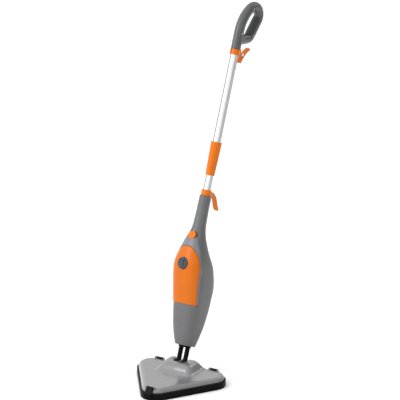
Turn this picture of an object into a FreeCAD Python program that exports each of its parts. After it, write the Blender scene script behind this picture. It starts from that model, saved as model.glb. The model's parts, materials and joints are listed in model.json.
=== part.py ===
import FreeCAD, Part
import math
import os
import Sketcher
from FreeCAD import Placement, Rotation, Vector

# A steam mop: a triangular steam head, a hinged neck, a tear-drop housing with a water tank, and a two-part
# pole with a loop handle. The origin is on the floor under the neck's hinge, +Z is up, the head's nose
# points along -Y and the pole leans back along +Y. Millimetres.

SIZES = [
    # how the mop stands
    ("lean_angle", 23.6),          # pole from the vertical
    ("twist_angle", -8.0),         # housing about the neck axis, against the head
    ("pivot_height", 55.0),        # hinge pin above the floor
    ("pole_offset", 52.0),         # pole axis in front of the neck axis
    ("running_gap", 0.05),         # radial clearance of shafts in holes
    ("moving_gap", 0.3),           # between faces on different moving pieces
    ("seam_gap", 0.4),             # round the tank and other lift-out pieces
    # housing, heights counted up the neck axis from the hinge pin
    ("housing_bottom", 54.0),
    ("housing_length", 472.0),
    ("housing_width", 111.0),
    ("housing_wall", 2.5),
    ("floor_wall", 3.0),
    ("seam_back", 6.0),            # the shells' seam behind the neck axis at the housing's foot
    ("neck_radius", 18.2),
    ("socket_depth", 95.0),
    # pole
    ("lower_tube_radius", 11.5),
    ("tube_wall", 1.1),
    ("tube_slip", 0.1),            # between the lower tube and the upper one over it
    ("lower_tube_showing", 46.0),
    ("tube_overlap", 45.0),
    ("sleeve_length", 106.5),
    ("sleeve_top_wall", 4.5),
    ("sleeve_bottom_wall", 2.7),
    ("sleeve_lip", 12.0),
    ("upper_tube_showing", 278.5),
    ("collar_height", 19.0),
    ("collar_wall", 3.3),
    # cord hooks
    ("hook_width", 15.0),
    ("hook_thickness", 6.0),
    ("hook_boss_radius", 8.0),
    ("hook_pin_radius", 2.5),
    # handle
    ("grip_radius", 15.5),
    ("handle_wall", 3.0),
    ("stem_length", 56.0),
    ("front_bend_radius", 100.0),
    ("front_bend", 50.0),          # angle the stem leans back through before the crown
    ("crown_radius", 30.0),
    ("grip_slant", 24.0),
    ("grip_length", 54.0),
    ("loop_foot_radius", 20.0),
    ("foot_slope", 12.0),          # the strut from the loop's foot down to the stem
    ("grip_pad_rise", 1.5),
    # tank
    ("tank_bottom", 182.0),
    ("tank_side_height", 108.0),
    ("tank_arch_height", 73.0),
    ("tank_top_width", 101.0),
    ("tank_foot_width", 90.0),
    ("tank_back", -40.0),
    ("tank_wall", 2.2),
    ("bezel_rim", 2.6),
    ("bezel_point_height", 135.0),
    ("bezel_flank", 0.715),        # the bezel's half width halfway up its point, as a share
    ("tank_rise", 1.2),
    ("bezel_rise", 0.6),
    ("cap_radius", 19.0),
    ("cap_height", 9.0),
    ("cap_station", 307.0),
    ("cap_face", 52.5),
    ("button_radius", 14.0),
    ("button_station", 396.0),
    ("button_rise", 3.392),        # the button's face in front of the housing's outline
    ("button_tilt", 17.0),
    ("button_travel", 3.0),
    ("button_height", 12.0),
    # neck
    ("arm_radius", 7.8),           # of the knuckles round the hinge pin
    ("arm_relief", 0.3),           # the arms are this much slimmer than their knuckles
    ("arm_spread", 11.3),
    ("hub_radius", 20.0),
    ("bearing_radius", 24.0),
    ("bearing_height", 14.0),
    ("flange_height", 5.0),
    ("pin_radius", 4.0),
    ("pin_bore_radius", 2.0),
    # head
    ("corner_x", 105.0),
    ("corner_front", 1.0),
    ("corner_radius", 48.0),
    ("apex_front", 157.0),
    ("apex_radius", 50.0),
    ("tray_height", 19.0),
    ("tray_wall", 4.0),
    ("seal_height", 4.0),
    ("seal_inset", 3.0),
    ("cover_inset", 5.0),
    ("cover_height", 13.0),
    ("cover_wall", 3.0),
    ("cover_slope_run", 7.0),      # how far the cover's side leans in over its height
    ("cover_edge_radius", 6.0),
    ("mound_width", 138.0),
    ("mound_front", 45.0),
    ("mound_back", 34.0),
    ("mound_height", 27.0),
    ("mound_taper", 45.0),
    ("slot_floor", 43.0),
    ("clip_width", 25.0),
    ("clip_thickness", 3.5),
    ("clip_drop", 33.0),
    ("clip_x", 97.0),
    # inside the housing
    ("boiler_radius", 24.0),
    ("boiler_height", 92.0),
    ("pump_width", 40.0),
    ("pump_height", 60.0),
    ("frame_front", 21.0),
    ("screw_radius", 1.6),
    ("screw_head_radius", 3.8),
]

# Sizes that follow from others: the upper tube slips over the lower one, and the sleeve and the collars go
# round them.
GIVEN = dict(SIZES)
UPPER_TUBE_RADIUS = GIVEN["lower_tube_radius"] + GIVEN["tube_wall"] + GIVEN["tube_slip"]
SIZES += [
    ("upper_tube_radius", UPPER_TUBE_RADIUS),
    ("sleeve_top_radius", UPPER_TUBE_RADIUS + GIVEN["moving_gap"] + GIVEN["sleeve_top_wall"]),
    ("sleeve_bottom_radius", GIVEN["lower_tube_radius"] + GIVEN["moving_gap"] + GIVEN["sleeve_bottom_wall"]),
    ("collar_radius", UPPER_TUBE_RADIUS + GIVEN["collar_wall"]),
]

# The housing's outline at its main heights: the height as a share of the housing's length, half width as a
# share of the full half width, reach in front of the pole axis, reach behind it, and squareness (2 = ellipse).
HOUSING_SECTIONS = [
    (0.000, 0.570, -25.0, 79.0, 2.4),
    (0.073, 0.715, -12.0, 85.0, 2.7),
    (0.161, 0.815, -1.0, 91.0, 3.0),
    (0.262, 0.900, 10.0, 95.0, 3.0),
    (0.396, 0.985, 29.0, 94.0, 3.0),
    (0.465, 1.000, 40.0, 86.0, 2.9),
    (0.537, 0.960, 47.5, 72.5, 2.8),
    (0.620, 0.810, 42.5, 47.0, 2.5),
    (0.685, 0.640, 35.5, 31.0, 2.3),
    (0.729, 0.520, 29.5, 26.0, 2.1),
    (0.777, 0.400, 23.0, 22.0, 2.0),
    (0.840, 0.366, 20.2, 19.6, 2.0),
    (0.920, 0.346, 19.2, 18.7, 2.0),
    (1.000, 0.340, 18.8, 18.4, 2.0),
]
OUTLINE_POINTS = 32
HOUSING_STEPS = 20                   # evenly spaced outlines the housing is lofted through

X_AXIS = Vector(1, 0, 0)
Y_AXIS = Vector(0, 1, 0)
Z_AXIS = Vector(0, 0, 1)
ALONG_X = Rotation(Y_AXIS, 90)       # turns a piece drawn along Z to lie along +X
ALONG_BACK = Rotation(X_AXIS, -90)   # turns a piece drawn along Z to lie along +Y
ALONG_FRONT = Rotation(X_AXIS, 90)   # turns a piece drawn along Z to lie along -Y

doc = FreeCAD.newDocument("steam_mop")
sheet = doc.addObject("Spreadsheet::Sheet", "sizes")
subparts = []


def fill_sheet():
    for row, (alias, number) in enumerate(SIZES, start=1):
        sheet.set("A%d" % row, alias)
        sheet.set("B%d" % row, str(round(number, 4)))
        sheet.setAlias("B%d" % row, alias)
    doc.recompute()


def size(alias):
    return float(sheet.get(alias))


def finish(piece, name, placement=None):
    """Registers an object as a sub-part, with its name and place."""
    piece.Label = name
    if placement is not None:
        piece.Placement = placement
    subparts.append(piece)
    return piece


def bind(piece, **expressions):
    for prop, expression in expressions.items():
        piece.setExpression(prop, expression)


# ---------------------------------------------------------------- frames

def neck_frame():
    """The neck: origin on the hinge pin, +Z up the neck axis, not twisted."""
    return Placement(Vector(0, 0, size("pivot_height")), Rotation(X_AXIS, -size("lean_angle")))


def on_neck(x=0.0, y=0.0, z=0.0, turn=Rotation()):
    return neck_frame().multiply(Placement(Vector(x, y, z), turn))


def on_body(x=0.0, y=0.0, z=0.0, turn=Rotation()):
    """The housing and pole: the neck frame turned about the neck axis."""
    twisted = neck_frame().multiply(Placement(Vector(), Rotation(Z_AXIS, size("twist_angle"))))
    return twisted.multiply(Placement(Vector(x, y, z), turn))


def on_pole(z, turn=Rotation()):
    return on_body(0, -size("pole_offset"), z, turn)


# ---------------------------------------------------------------- heights up the neck axis

def housing_top():
    return size("housing_bottom") + size("housing_length")


def lower_collar_top():
    return housing_top() + size("collar_height")


def sleeve_bottom():
    return lower_collar_top() + size("lower_tube_showing")


def sleeve_top():
    return sleeve_bottom() + size("sleeve_length")


def upper_collar_bottom():
    return sleeve_top() + size("upper_tube_showing")


def handle_bottom():
    return upper_collar_bottom() + size("collar_height")


# ---------------------------------------------------------------- ways of making a piece

def origin_plane(body, role):
    return [item for item in body.Origin.OriginFeatures if item.Role == role][0]


def new_body(name):
    return doc.addObject("PartDesign::Body", name)


def new_sketch(body, name, role="XY_Plane", height=None):
    sketch = body.newObject("Sketcher::SketchObject", name)
    sketch.AttachmentSupport = [(origin_plane(body, role), "")]
    sketch.MapMode = "FlatFace"
    if height:
        sketch.setExpression("AttachmentOffset.Base.z", height)
    return sketch


def constrain(sketch, expression, *geometry):
    index = sketch.addConstraint(Sketcher.Constraint(*geometry))
    sketch.setExpression("Constraints[%d]" % index, expression)


def add_circle(sketch, radius, start_radius):
    """A circle about the sketch's origin."""
    circle = sketch.addGeometry(Part.Circle(Vector(), Z_AXIS, start_radius), False)
    sketch.addConstraint(Sketcher.Constraint("Coincident", circle, 3, -1, 1))
    constrain(sketch, radius, "Radius", circle, start_radius)


def add_circle_at(sketch, x, y, radius):
    """A circle at a place given by numbers, with its radius bound to the sheet."""
    circle = sketch.addGeometry(Part.Circle(Vector(x, y, 0), Z_AXIS, 2.0), False)
    sketch.addConstraint(Sketcher.Constraint("DistanceX", -1, 1, circle, 3, x))
    sketch.addConstraint(Sketcher.Constraint("DistanceY", -1, 1, circle, 3, y))
    constrain(sketch, radius, "Radius", circle, 2.0)


def add_rectangle(sketch, left, right, bottom, top):
    """A rectangle whose four sides are expressions for their distance from the sketch's origin."""
    corners = [Vector(-5, -5, 0), Vector(5, -5, 0), Vector(5, 5, 0), Vector(-5, 5, 0)]
    first = len(sketch.Geometry)
    for index in range(4):
        sketch.addGeometry(Part.LineSegment(corners[index], corners[(index + 1) % 4]), False)
    for index in range(4):
        sketch.addConstraint(Sketcher.Constraint("Coincident", first + index, 2, first + (index + 1) % 4, 1))
    for index in (0, 2):
        sketch.addConstraint(Sketcher.Constraint("Horizontal", first + index))
    for index in (1, 3):
        sketch.addConstraint(Sketcher.Constraint("Vertical", first + index))
    constrain(sketch, left, "DistanceX", first, 1, -1, 1, 5.0)
    constrain(sketch, right, "DistanceX", -1, 1, first + 2, 1, 5.0)
    constrain(sketch, bottom, "DistanceY", first, 1, -1, 1, 5.0)
    constrain(sketch, top, "DistanceY", -1, 1, first + 2, 1, 5.0)


def pad(body, sketch, name, length):
    feature = body.newObject("PartDesign::Pad", name)
    feature.Profile = sketch
    feature.setExpression("Length", length)
    return feature


def pocket(body, sketch, name, length, reverse=False, both=False):
    feature = body.newObject("PartDesign::Pocket", name)
    feature.Profile = sketch
    feature.setExpression("Length", length)
    feature.Reversed = reverse
    feature.Midplane = both
    return feature


def ring(name, outer, inner, height, placement):
    """A plain ring or tube: two circles padded."""
    body = new_body(name)
    sketch = new_sketch(body, name + "_outline")
    add_circle(sketch, outer, 10.0)
    add_circle(sketch, inner, 5.0)
    pad(body, sketch, name + "_pad", height)
    return finish(body, name, placement)


def block(name, width, depth, height, placement, corner="1"):
    """A block centred on its own axis, with rounded upright corners."""
    body = new_body(name)
    sketch = new_sketch(body, name + "_outline")
    add_rectangle(sketch, "(%s) / 2" % width, "(%s) / 2" % width, "(%s) / 2" % depth, "(%s) / 2" % depth)
    pad_feature = pad(body, sketch, name + "_pad", height)
    doc.recompute()
    upright = upright_edges(pad_feature.Shape)
    rounding = body.newObject("PartDesign::Fillet", name + "_corners")
    rounding.Base = (pad_feature, upright)
    rounding.setExpression("Radius", corner)
    return finish(body, name, placement)


def upright_edges(shape):
    names = []
    for index, edge in enumerate(shape.Edges, start=1):
        start, end = edge.Vertexes[0].Point, edge.Vertexes[-1].Point
        if abs(end.z - start.z) > 0.01 and start.sub(Vector(end.x, end.y, start.z)).Length < 0.01:
            names.append("Edge%d" % index)
    return names


def edges_at_height(shape, height):
    names = []
    for index, edge in enumerate(shape.Edges, start=1):
        if all(abs(vertex.Z - height) < 0.01 for vertex in edge.Vertexes):
            names.append("Edge%d" % index)
    return names


def cylinder(name, radius, height, placement):
    piece = doc.addObject("Part::Cylinder", name)
    bind(piece, Radius=radius, Height=height)
    piece.Placement = placement
    return piece


def box(name, width, depth, height, placement):
    piece = doc.addObject("Part::Box", name)
    bind(piece, Length=width, Width=depth, Height=height)
    piece.Placement = placement
    return piece


def fuse(name, pieces):
    piece = doc.addObject("Part::MultiFuse", name)
    piece.Shapes = pieces
    piece.Refine = True
    return piece


def cut(name, base, tool):
    piece = doc.addObject("Part::Cut", name)
    piece.Base = base
    piece.Tool = tool
    return piece


def common(name, base, tool):
    piece = doc.addObject("Part::Common", name)
    piece.Base = base
    piece.Tool = tool
    return piece


def shape_part(name, shape, placement=None):
    """A free-form piece whose shape is worked out in code from the sheet's sizes."""
    piece = doc.addObject("Part::Feature", name)
    piece.Shape = shape
    if placement is not None:
        piece.Placement = placement
    return piece


def screw_shape(length):
    """A pan-head screw: the head's underside at z = 0, the shank along -Z."""
    shank = Part.makeCylinder(size("screw_radius") - size("running_gap"), length, Vector(0, 0, -length))
    head = Part.makeCylinder(size("screw_head_radius") - size("running_gap"), 2.4)
    return shank.fuse(head).removeSplitter()


def screws(name, length, placements, frame):
    """Identical screws in one node, as separate solids."""
    solids = []
    for place in placements:
        screw = screw_shape(length)
        screw.Placement = place
        solids.append(screw)
    return finish(shape_part(name, Part.makeCompound(solids)), name, frame)


# ---------------------------------------------------------------- housing

def housing_outline(height, half_width, front, back, squareness, inset):
    """A closed smooth outline, drawn `inset` inside the housing's skin."""
    centre = (back - front) / 2 - size("pole_offset")
    depth = (back + front) / 2 - inset
    width = half_width - inset
    points = []
    for step in range(OUTLINE_POINTS):
        angle = 2 * math.pi * step / OUTLINE_POINTS
        across = abs(math.cos(angle)) / width
        along = abs(math.sin(angle)) / depth
        reach = (across ** squareness + along ** squareness) ** (-1 / squareness)
        points.append(Vector(reach * math.cos(angle), centre + reach * math.sin(angle), height))
    curve = Part.BSplineCurve()
    curve.interpolate(points, PeriodicFlag=True)
    return Part.Wire(curve.toShape())


def slope_at(column, index):
    """The slope of one column of the table at a row, kept level at peaks so the form never bulges."""
    rows = HOUSING_SECTIONS
    if index in (0, len(rows) - 1):
        near, far = (0, 1) if index == 0 else (index - 1, index)
        return (rows[far][column] - rows[near][column]) / (rows[far][0] - rows[near][0])
    before = (rows[index][column] - rows[index - 1][column]) / (rows[index][0] - rows[index - 1][0])
    after = (rows[index + 1][column] - rows[index][column]) / (rows[index + 1][0] - rows[index][0])
    if before * after <= 0:
        return 0.0
    return 2 * before * after / (before + after)


def section_value(column, share):
    """One column of the table of outlines, smoothly between its rows."""
    rows = HOUSING_SECTIONS
    index = max(number for number, row in enumerate(rows[:-1]) if row[0] <= share)
    span = rows[index + 1][0] - rows[index][0]
    part = (share - rows[index][0]) / span
    start, end = rows[index][column], rows[index + 1][column]
    start_slope = slope_at(column, index) * span
    end_slope = slope_at(column, index + 1) * span
    return (start * (1 + 2 * part) * (1 - part) ** 2 + start_slope * part * (1 - part) ** 2
            + end * part ** 2 * (3 - 2 * part) - end_slope * part ** 2 * (1 - part))


def housing_loft(inset, floor=0.0):
    """The housing's outer form, or the same form drawn in by a wall."""
    outlines = []
    for step in range(HOUSING_STEPS + 1):
        share = step / HOUSING_STEPS
        width_share, front, back, squareness = [section_value(column, share) for column in (1, 2, 3, 4)]
        height = size("housing_bottom") + share * size("housing_length")
        if step == 0:
            height += floor
        half_width = width_share * size("housing_width") / 2
        outlines.append(housing_outline(height, half_width, front, back, squareness, inset))
    return Part.makeLoft(outlines, True, False)


def front_window(inset, point_height, arch):
    """The tank's or bezel's outline seen from the front, carried back through the housing."""
    bottom = size("tank_bottom") + max(inset, 0.0)
    shoulder = size("tank_bottom") + size("tank_side_height")
    foot = size("tank_foot_width") / 2 - inset
    side = size("tank_top_width") / 2 - inset
    tip = Vector(0, 0, shoulder + point_height - inset)
    left_foot, right_foot = Vector(-foot, 0, bottom), Vector(foot, 0, bottom)
    left_side, right_side = Vector(-side, 0, shoulder), Vector(side, 0, shoulder)
    rise = tip.z - shoulder
    edges = [Part.makeLine(left_foot, right_foot), Part.makeLine(right_foot, right_side)]
    if arch:
        crown = Part.BSplineCurve()
        crown.interpolate(arch_points(side, rise, shoulder))
        edges.append(crown.toShape())
    else:
        middle = Vector(side * size("bezel_flank"), 0, shoulder + rise / 2)
        mirrored = Vector(-middle.x, 0, middle.z)
        edges.append(Part.Arc(right_side, middle, tip).toShape())
        edges.append(Part.Arc(tip, mirrored, left_side).toShape())
    edges.append(Part.makeLine(left_side, left_foot))
    face = Part.Face(Part.Wire(edges))
    reach = size("housing_width") * 2
    face.translate(Vector(0, -reach, 0))
    return face.extrude(Vector(0, reach + size("tank_back"), 0))


def arch_points(side, rise, shoulder):
    points = []
    for step in range(13):
        angle = math.pi * step / 12
        points.append(Vector(side * math.cos(angle), 0, shoulder + rise * math.sin(angle)))
    return points


def front_half(reach=400.0):
    """Everything in front of the slanted parting plane between the two shells."""
    block_shape = Part.makeBox(reach, reach, 3 * reach, Vector(-reach / 2, -reach, -reach))
    slant = math.degrees(math.atan2(size("pole_offset"), size("housing_length")))
    block_shape.Placement = Placement(Vector(0, size("seam_back"), size("housing_bottom")), Rotation(X_AXIS, slant))
    return block_shape


def axis_hole(radius, height, bottom):
    return Part.makeCylinder(radius, height, Vector(0, 0, bottom))


def screw_places():
    """Housing screws: pairs low and high on the back, each with its height and the face of its head."""
    places = []
    for height, side, head_face in ((122.0, 31.0, 24.0), (292.0, 33.0, 12.0)):
        places.append((-side, head_face, height))
        places.append((side, head_face, height))
    return places


def screw_holes(radius, start, end):
    holes = []
    for x, head_face, z in screw_places():
        first = head_face if start is None else start
        holes.append(Part.makeCylinder(radius, end - first, Vector(x, first, z), Y_AXIS))
    return Part.makeCompound(holes)


def make_housing():
    form = housing_loft(0.0)
    cavity = housing_loft(size("housing_wall"), size("floor_wall"))
    shell = form.cut(cavity)
    hub_hole = axis_hole(size("hub_radius") + 1.0, size("floor_wall") * 3, size("housing_bottom") - 3.0)
    shell = shell.cut(hub_hole)
    front = front_half()
    rim = size("bezel_rim")
    bezel_window = front_window(-rim, size("bezel_point_height") - rim, False)
    tank_window = front_window(-size("seam_gap"), size("tank_arch_height"), True)
    button_hole = button_cylinder(size("button_radius") + size("moving_gap"), 60.0, -30.0)

    front_shell = shell.common(front).cut(bezel_window).cut(button_hole)
    finish(shape_part("front_shell", largest_solid(front_shell)), "front_shell", on_body())

    gland_hole = Part.makeCylinder(7.0, 60.0, Vector(0, 10, gland_height()), Y_AXIS)
    rear_shell = shell.cut(front).cut(gland_hole)
    rear_shell = rear_shell.cut(screw_holes(size("screw_head_radius"), None, 90.0))
    finish(shape_part("rear_shell", largest_solid(rear_shell)), "rear_shell", on_body())

    raised = housing_loft(-size("bezel_rise"))
    bezel = raised.cut(cavity).common(bezel_window).cut(tank_window).cut(button_hole)
    finish(shape_part("bezel", largest_solid(bezel)), "bezel", on_body())

    posts = screw_posts(cavity)
    finish(shape_part("screw_posts", posts), "screw_posts", on_body())
    return cavity


def largest_solid(shape):
    """The piece itself, without the crumbs that a cut can leave."""
    solids = sorted(shape.Solids, key=lambda solid: solid.Volume)
    return solids[-1]


def screw_posts(cavity):
    posts = []
    for x, head_face, z in screw_places():
        front_end = -8.0
        post = Part.makeCylinder(5.5, 80.0, Vector(x, front_end, z), Y_AXIS)
        posts.append(post)
    solid_posts = cavity.common(Part.makeCompound(posts))
    solid_posts = solid_posts.cut(screw_holes(size("screw_radius"), -20.0, 90.0))
    solid_posts = solid_posts.cut(screw_holes(size("screw_head_radius"), None, 90.0))
    return Part.makeCompound(solid_posts.Solids)


def make_housing_screws():
    places = [Placement(Vector(x, face, z), ALONG_BACK) for x, face, z in screw_places()]
    screws("housing_screws", 22.0, places, on_body())


def gland_height():
    return size("housing_bottom") + 0.38 * size("housing_length")


def make_cord_gland():
    ring("cord_gland", "7", "3.5", "14", on_body(0, 33.0, gland_height(), ALONG_BACK))


# ---------------------------------------------------------------- tank

def make_tank(cavity):
    skin = housing_loft(-size("tank_rise"))
    wall = size("tank_wall")
    outline = front_window(0.0, size("tank_arch_height"), True)
    inner_outline = front_window(wall, size("tank_arch_height"), True)
    inner_skin = housing_loft(wall - size("tank_rise"))
    back_depth = wall
    hollow = inner_skin.common(inner_outline)
    body = skin.common(outline).cut(hollow)
    forward = Vector(0, -1, 0)
    under_cap = size("cap_height") + size("moving_gap")
    boss = Part.makeCylinder(size("cap_radius") + wall, 9.0, cap_centre(under_cap + 3.0), forward)
    cap_hole = Part.makeCylinder(size("cap_radius") - 4.0, 60.0, cap_centre(30.0), forward)
    cap_seat = Part.makeCylinder(size("cap_radius") + size("moving_gap"), 60.0, cap_centre(under_cap), forward)
    shell = body.fuse(boss.common(skin)).cut(cap_hole).cut(cap_seat)
    finish(shape_part("tank_shell", largest_solid(shell)), "tank_shell", on_body())

    back = hollow.common(Part.makeBox(300, back_depth, 600, Vector(-150, size("tank_back") - back_depth, 0)))
    valve_hole = Part.makeCylinder(5.0, 20.0, valve_centre(-10.0), Y_AXIS)
    back = back.cut(valve_hole)
    finish(shape_part("tank_back_wall", largest_solid(back)), "tank_back_wall", on_body())

    bay_start = size("tank_back") + size("seam_gap")
    bay = cavity.common(Part.makeBox(300, 2.5, size("tank_side_height") + 92.0,
                                     Vector(-150, bay_start, size("tank_bottom") - 6.0)))
    bay = bay.cut(Part.makeCylinder(4.0, 20.0, valve_centre(-2.0), Y_AXIS))
    finish(shape_part("tank_bay_wall", largest_solid(bay)), "tank_bay_wall", on_body())


def cap_centre(depth):
    """A point on the filler cap's axis, `depth` behind the cap's front face."""
    front = -size("pole_offset") - size("cap_face")
    return Vector(0, front + depth, size("cap_station"))


def valve_centre(depth):
    return Vector(0, size("tank_back") + depth, size("tank_bottom") + 22.0)


def make_filler_cap():
    """A round bayonet cap with a raised finger ridge and a spigot in the filler hole."""
    face = cap_centre(size("cap_height"))
    place = on_body(face.x, face.y, face.z, ALONG_FRONT)
    disc = cylinder("cap_disc", "sizes.cap_radius", "sizes.cap_height - 2", Placement())
    ridge = box("cap_ridge", "6", "2 * sizes.cap_radius - 8", "sizes.cap_height",
                Placement(Vector(-3, 4 - size("cap_radius"), 0), Rotation()))
    spigot = cylinder("cap_spigot", "sizes.cap_radius - 4 - sizes.moving_gap", "9",
                      Placement(Vector(0, 0, -9), Rotation()))
    finish(fuse("filler_cap", [disc, ridge, spigot]), "filler_cap", place)


def button_cylinder(radius, length, depth):
    """A cylinder on the release button's axis, starting `depth` in front of the button's seat."""
    axis = button_axis()
    start = button_point().add(Vector(axis).multiply(depth))
    return Part.makeCylinder(radius, length, start, axis)


def button_axis():
    tilt = math.radians(size("button_tilt"))
    return Vector(0, -math.cos(tilt), math.sin(tilt))


def button_face():
    """How far in front of the pole axis the button's face stands."""
    share = (size("button_station") - size("housing_bottom")) / size("housing_length")
    return section_value(2, share) + size("button_rise")


def button_point():
    return Vector(0, -size("pole_offset") - button_face() + size("button_height"), size("button_station"))


def button_turn():
    return Rotation(X_AXIS, 90 - size("button_tilt"))


def make_release_button():
    """A domed round button with a flange behind the bezel, and its spring and guide cup."""
    point = button_point()
    place = on_body(point.x, point.y, point.z, button_turn())
    body = new_body("release_button")
    outline = new_sketch(body, "button_outline")
    add_circle(outline, "sizes.button_radius", 10.0)
    shaft = pad(body, outline, "button_pad", "sizes.button_height")
    doc.recompute()
    dome = body.newObject("PartDesign::Fillet", "button_dome")
    dome.Base = (shaft, edges_at_height(shaft.Shape, size("button_height")))
    dome.Radius = 3.0
    finish(body, "release_button", place)
    seat = Vector(button_point()).add(Vector(button_axis()).multiply(-12.0))
    ring("button_spring", "5", "4", "12", on_body(seat.x, seat.y, seat.z, button_turn()))
    seat = seat.add(Vector(button_axis()).multiply(-2.0))
    piece = cylinder("button_seat", "11", "2", on_body(seat.x, seat.y, seat.z, button_turn()))
    finish(piece, "button_seat")


# ---------------------------------------------------------------- pole

def make_pole():
    lower_start = housing_top() - size("socket_depth") + 5.0
    ring("lower_tube", "sizes.lower_tube_radius", "sizes.lower_tube_radius - sizes.tube_wall",
         "sizes.socket_depth - 5 + sizes.collar_height + sizes.lower_tube_showing + sizes.tube_overlap + 12",
         on_pole(lower_start))
    ring("tube_socket", "sizes.neck_radius - sizes.housing_wall - 0.4", "sizes.lower_tube_radius",
         "sizes.socket_depth - 5", on_pole(lower_start))
    ring("upper_tube", "sizes.upper_tube_radius", "sizes.upper_tube_radius - sizes.tube_wall",
         "sizes.sleeve_length - sizes.sleeve_lip - 6 + sizes.upper_tube_showing + sizes.collar_height + 40",
         on_pole(sleeve_bottom() + size("sleeve_lip") + 6.0))


def make_sleeve():
    """The twist-lock sleeve over the joint of the two tubes: a tapered grip with shallow flutes."""
    taper = doc.addObject("Part::Cone", "sleeve_taper")
    bind(taper, Radius1="sizes.sleeve_bottom_radius", Radius2="sizes.sleeve_top_radius",
         Height="sizes.sleeve_length")
    lip_bore = cylinder("sleeve_lip_bore", "sizes.lower_tube_radius + sizes.moving_gap",
                        "sizes.sleeve_length", Placement())
    main_bore = cylinder("sleeve_main_bore", "sizes.upper_tube_radius + sizes.moving_gap",
                         "sizes.sleeve_length", Placement())
    bind(main_bore, **{"Placement.Base.z": "sizes.sleeve_lip"})
    bores = fuse("sleeve_bores", [lip_bore, main_bore])
    finish(cut("coupling_sleeve", taper, bores), "coupling_sleeve", on_pole(sleeve_bottom()))


def hook_plate(points, width, thickness):
    """A bent hook: a strip of even thickness along smooth points in the Y-Z plane, `width` wide."""
    curve = Part.BSplineCurve()
    curve.interpolate([Vector(0, back, up) for back, up in points])
    steps = 24
    near, far = [], []
    for step in range(steps + 1):
        parameter = curve.FirstParameter + (curve.LastParameter - curve.FirstParameter) * step / steps
        point = curve.value(parameter)
        tangent = curve.tangent(parameter)[0]
        normal = X_AXIS.cross(tangent)
        near.append(point.add(Vector(normal).multiply(thickness / 2)))
        far.append(point.sub(Vector(normal).multiply(thickness / 2)))
    upper, lower = Part.BSplineCurve(), Part.BSplineCurve()
    upper.interpolate(near)
    lower.interpolate(far)
    edges = [upper.toShape(), Part.makeLine(near[-1], far[-1]), lower.toShape(), Part.makeLine(far[0], near[0])]
    face = Part.Face(Part.Wire(Part.__sortEdges__(edges)))
    face.translate(Vector(-width / 2, 0, 0))
    return face.extrude(Vector(width, 0, 0))


def make_lower_collar():
    """The lower collar and its fixed hook, one moulding; the hook's tip points down."""
    height = size("collar_height")
    collar = Part.makeCylinder(size("collar_radius"), height)
    points = [(11.0, 11.0), (30.0, 9.0), (47.0, -4.0), (59.0, -23.0), (72.0, -38.0)]
    hook = hook_plate(points, size("hook_width"), size("hook_thickness"))
    bore = Part.makeCylinder(size("lower_tube_radius"), height)
    shape = collar.fuse(hook).cut(bore).removeSplitter()
    finish(shape_part("lower_collar", shape), "lower_collar", on_pole(housing_top()))


def hook_pivot_height():
    return handle_bottom() - 16.0


def make_upper_collar():
    """The upper collar, with a lug down its back that the turning hook is screwed to."""
    height = size("collar_height")
    collar = Part.makeCylinder(size("collar_radius"), height)
    radius = size("hook_boss_radius")
    lug_centre = hook_pivot_height() - upper_collar_bottom()
    lug = Part.makeCylinder(radius, 23.0, Vector(0, 0, lug_centre), Y_AXIS)
    web = Part.makeBox(2 * radius, 21.0, height - lug_centre, Vector(-radius, 0, lug_centre))
    bore = Part.makeCylinder(size("upper_tube_radius"), 3 * height, Vector(0, 0, -height))
    hole = Part.makeCylinder(size("hook_pin_radius"), 30.0, Vector(0, 0, lug_centre), Y_AXIS)
    shape = collar.fuse([lug, web]).cut(bore).cut(hole).removeSplitter()
    finish(shape_part("upper_collar", shape), "upper_collar", on_pole(upper_collar_bottom()))


def make_upper_hook():
    """The turning hook: its tip points up, and half a turn drops the wound cord."""
    radius = size("hook_boss_radius")
    start = 23.0 + size("moving_gap")
    boss = Part.makeCylinder(radius, 9.0, Vector(0, start, 0), Y_AXIS)
    points = [(30.0, -26.0), (34.0, -15.0), (43.0, 0.0), (53.0, 12.0), (66.0, 22.0)]
    blade = hook_plate(points, size("hook_width"), size("hook_thickness"))
    keep = Part.makeBox(60, 100, 100, Vector(-30, start, -50))
    hole_radius = size("hook_pin_radius") + size("running_gap")
    hole = Part.makeCylinder(hole_radius, 60.0, Vector(), Y_AXIS)
    head_seat = Part.makeCylinder(5.3, 60.0, Vector(0, start + 9.0, 0), Y_AXIS)
    shape = boss.fuse(blade).common(keep).cut(hole).cut(head_seat).removeSplitter()
    finish(shape_part("upper_cord_hook", largest_solid(shape)), "upper_cord_hook", on_pole(hook_pivot_height()))
    pin_length = start + 9.0 + size("moving_gap") - 14.0
    shank = Part.makeCylinder(size("hook_pin_radius"), pin_length, Vector(0, 14, 0), Y_AXIS)
    head = Part.makeCylinder(5.0, 2.0, Vector(0, 14 + pin_length, 0), Y_AXIS)
    finish(shape_part("hook_pivot_screw", shank.fuse(head)), "hook_pivot_screw", on_pole(hook_pivot_height()))


# ---------------------------------------------------------------- handle

def walk(point, heading, radius, turn):
    """The middle and the end of an arc in the Y-Z plane that turns backwards. Headings from upright."""
    start, middle, end = (math.radians(heading + turn * share) for share in (0.0, 0.5, 1.0))
    centre = (point[0] + radius * math.cos(start), point[1] - radius * math.sin(start))
    return [(centre[0] - radius * math.cos(angle), centre[1] + radius * math.sin(angle))
            for angle in (middle, end)]


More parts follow.
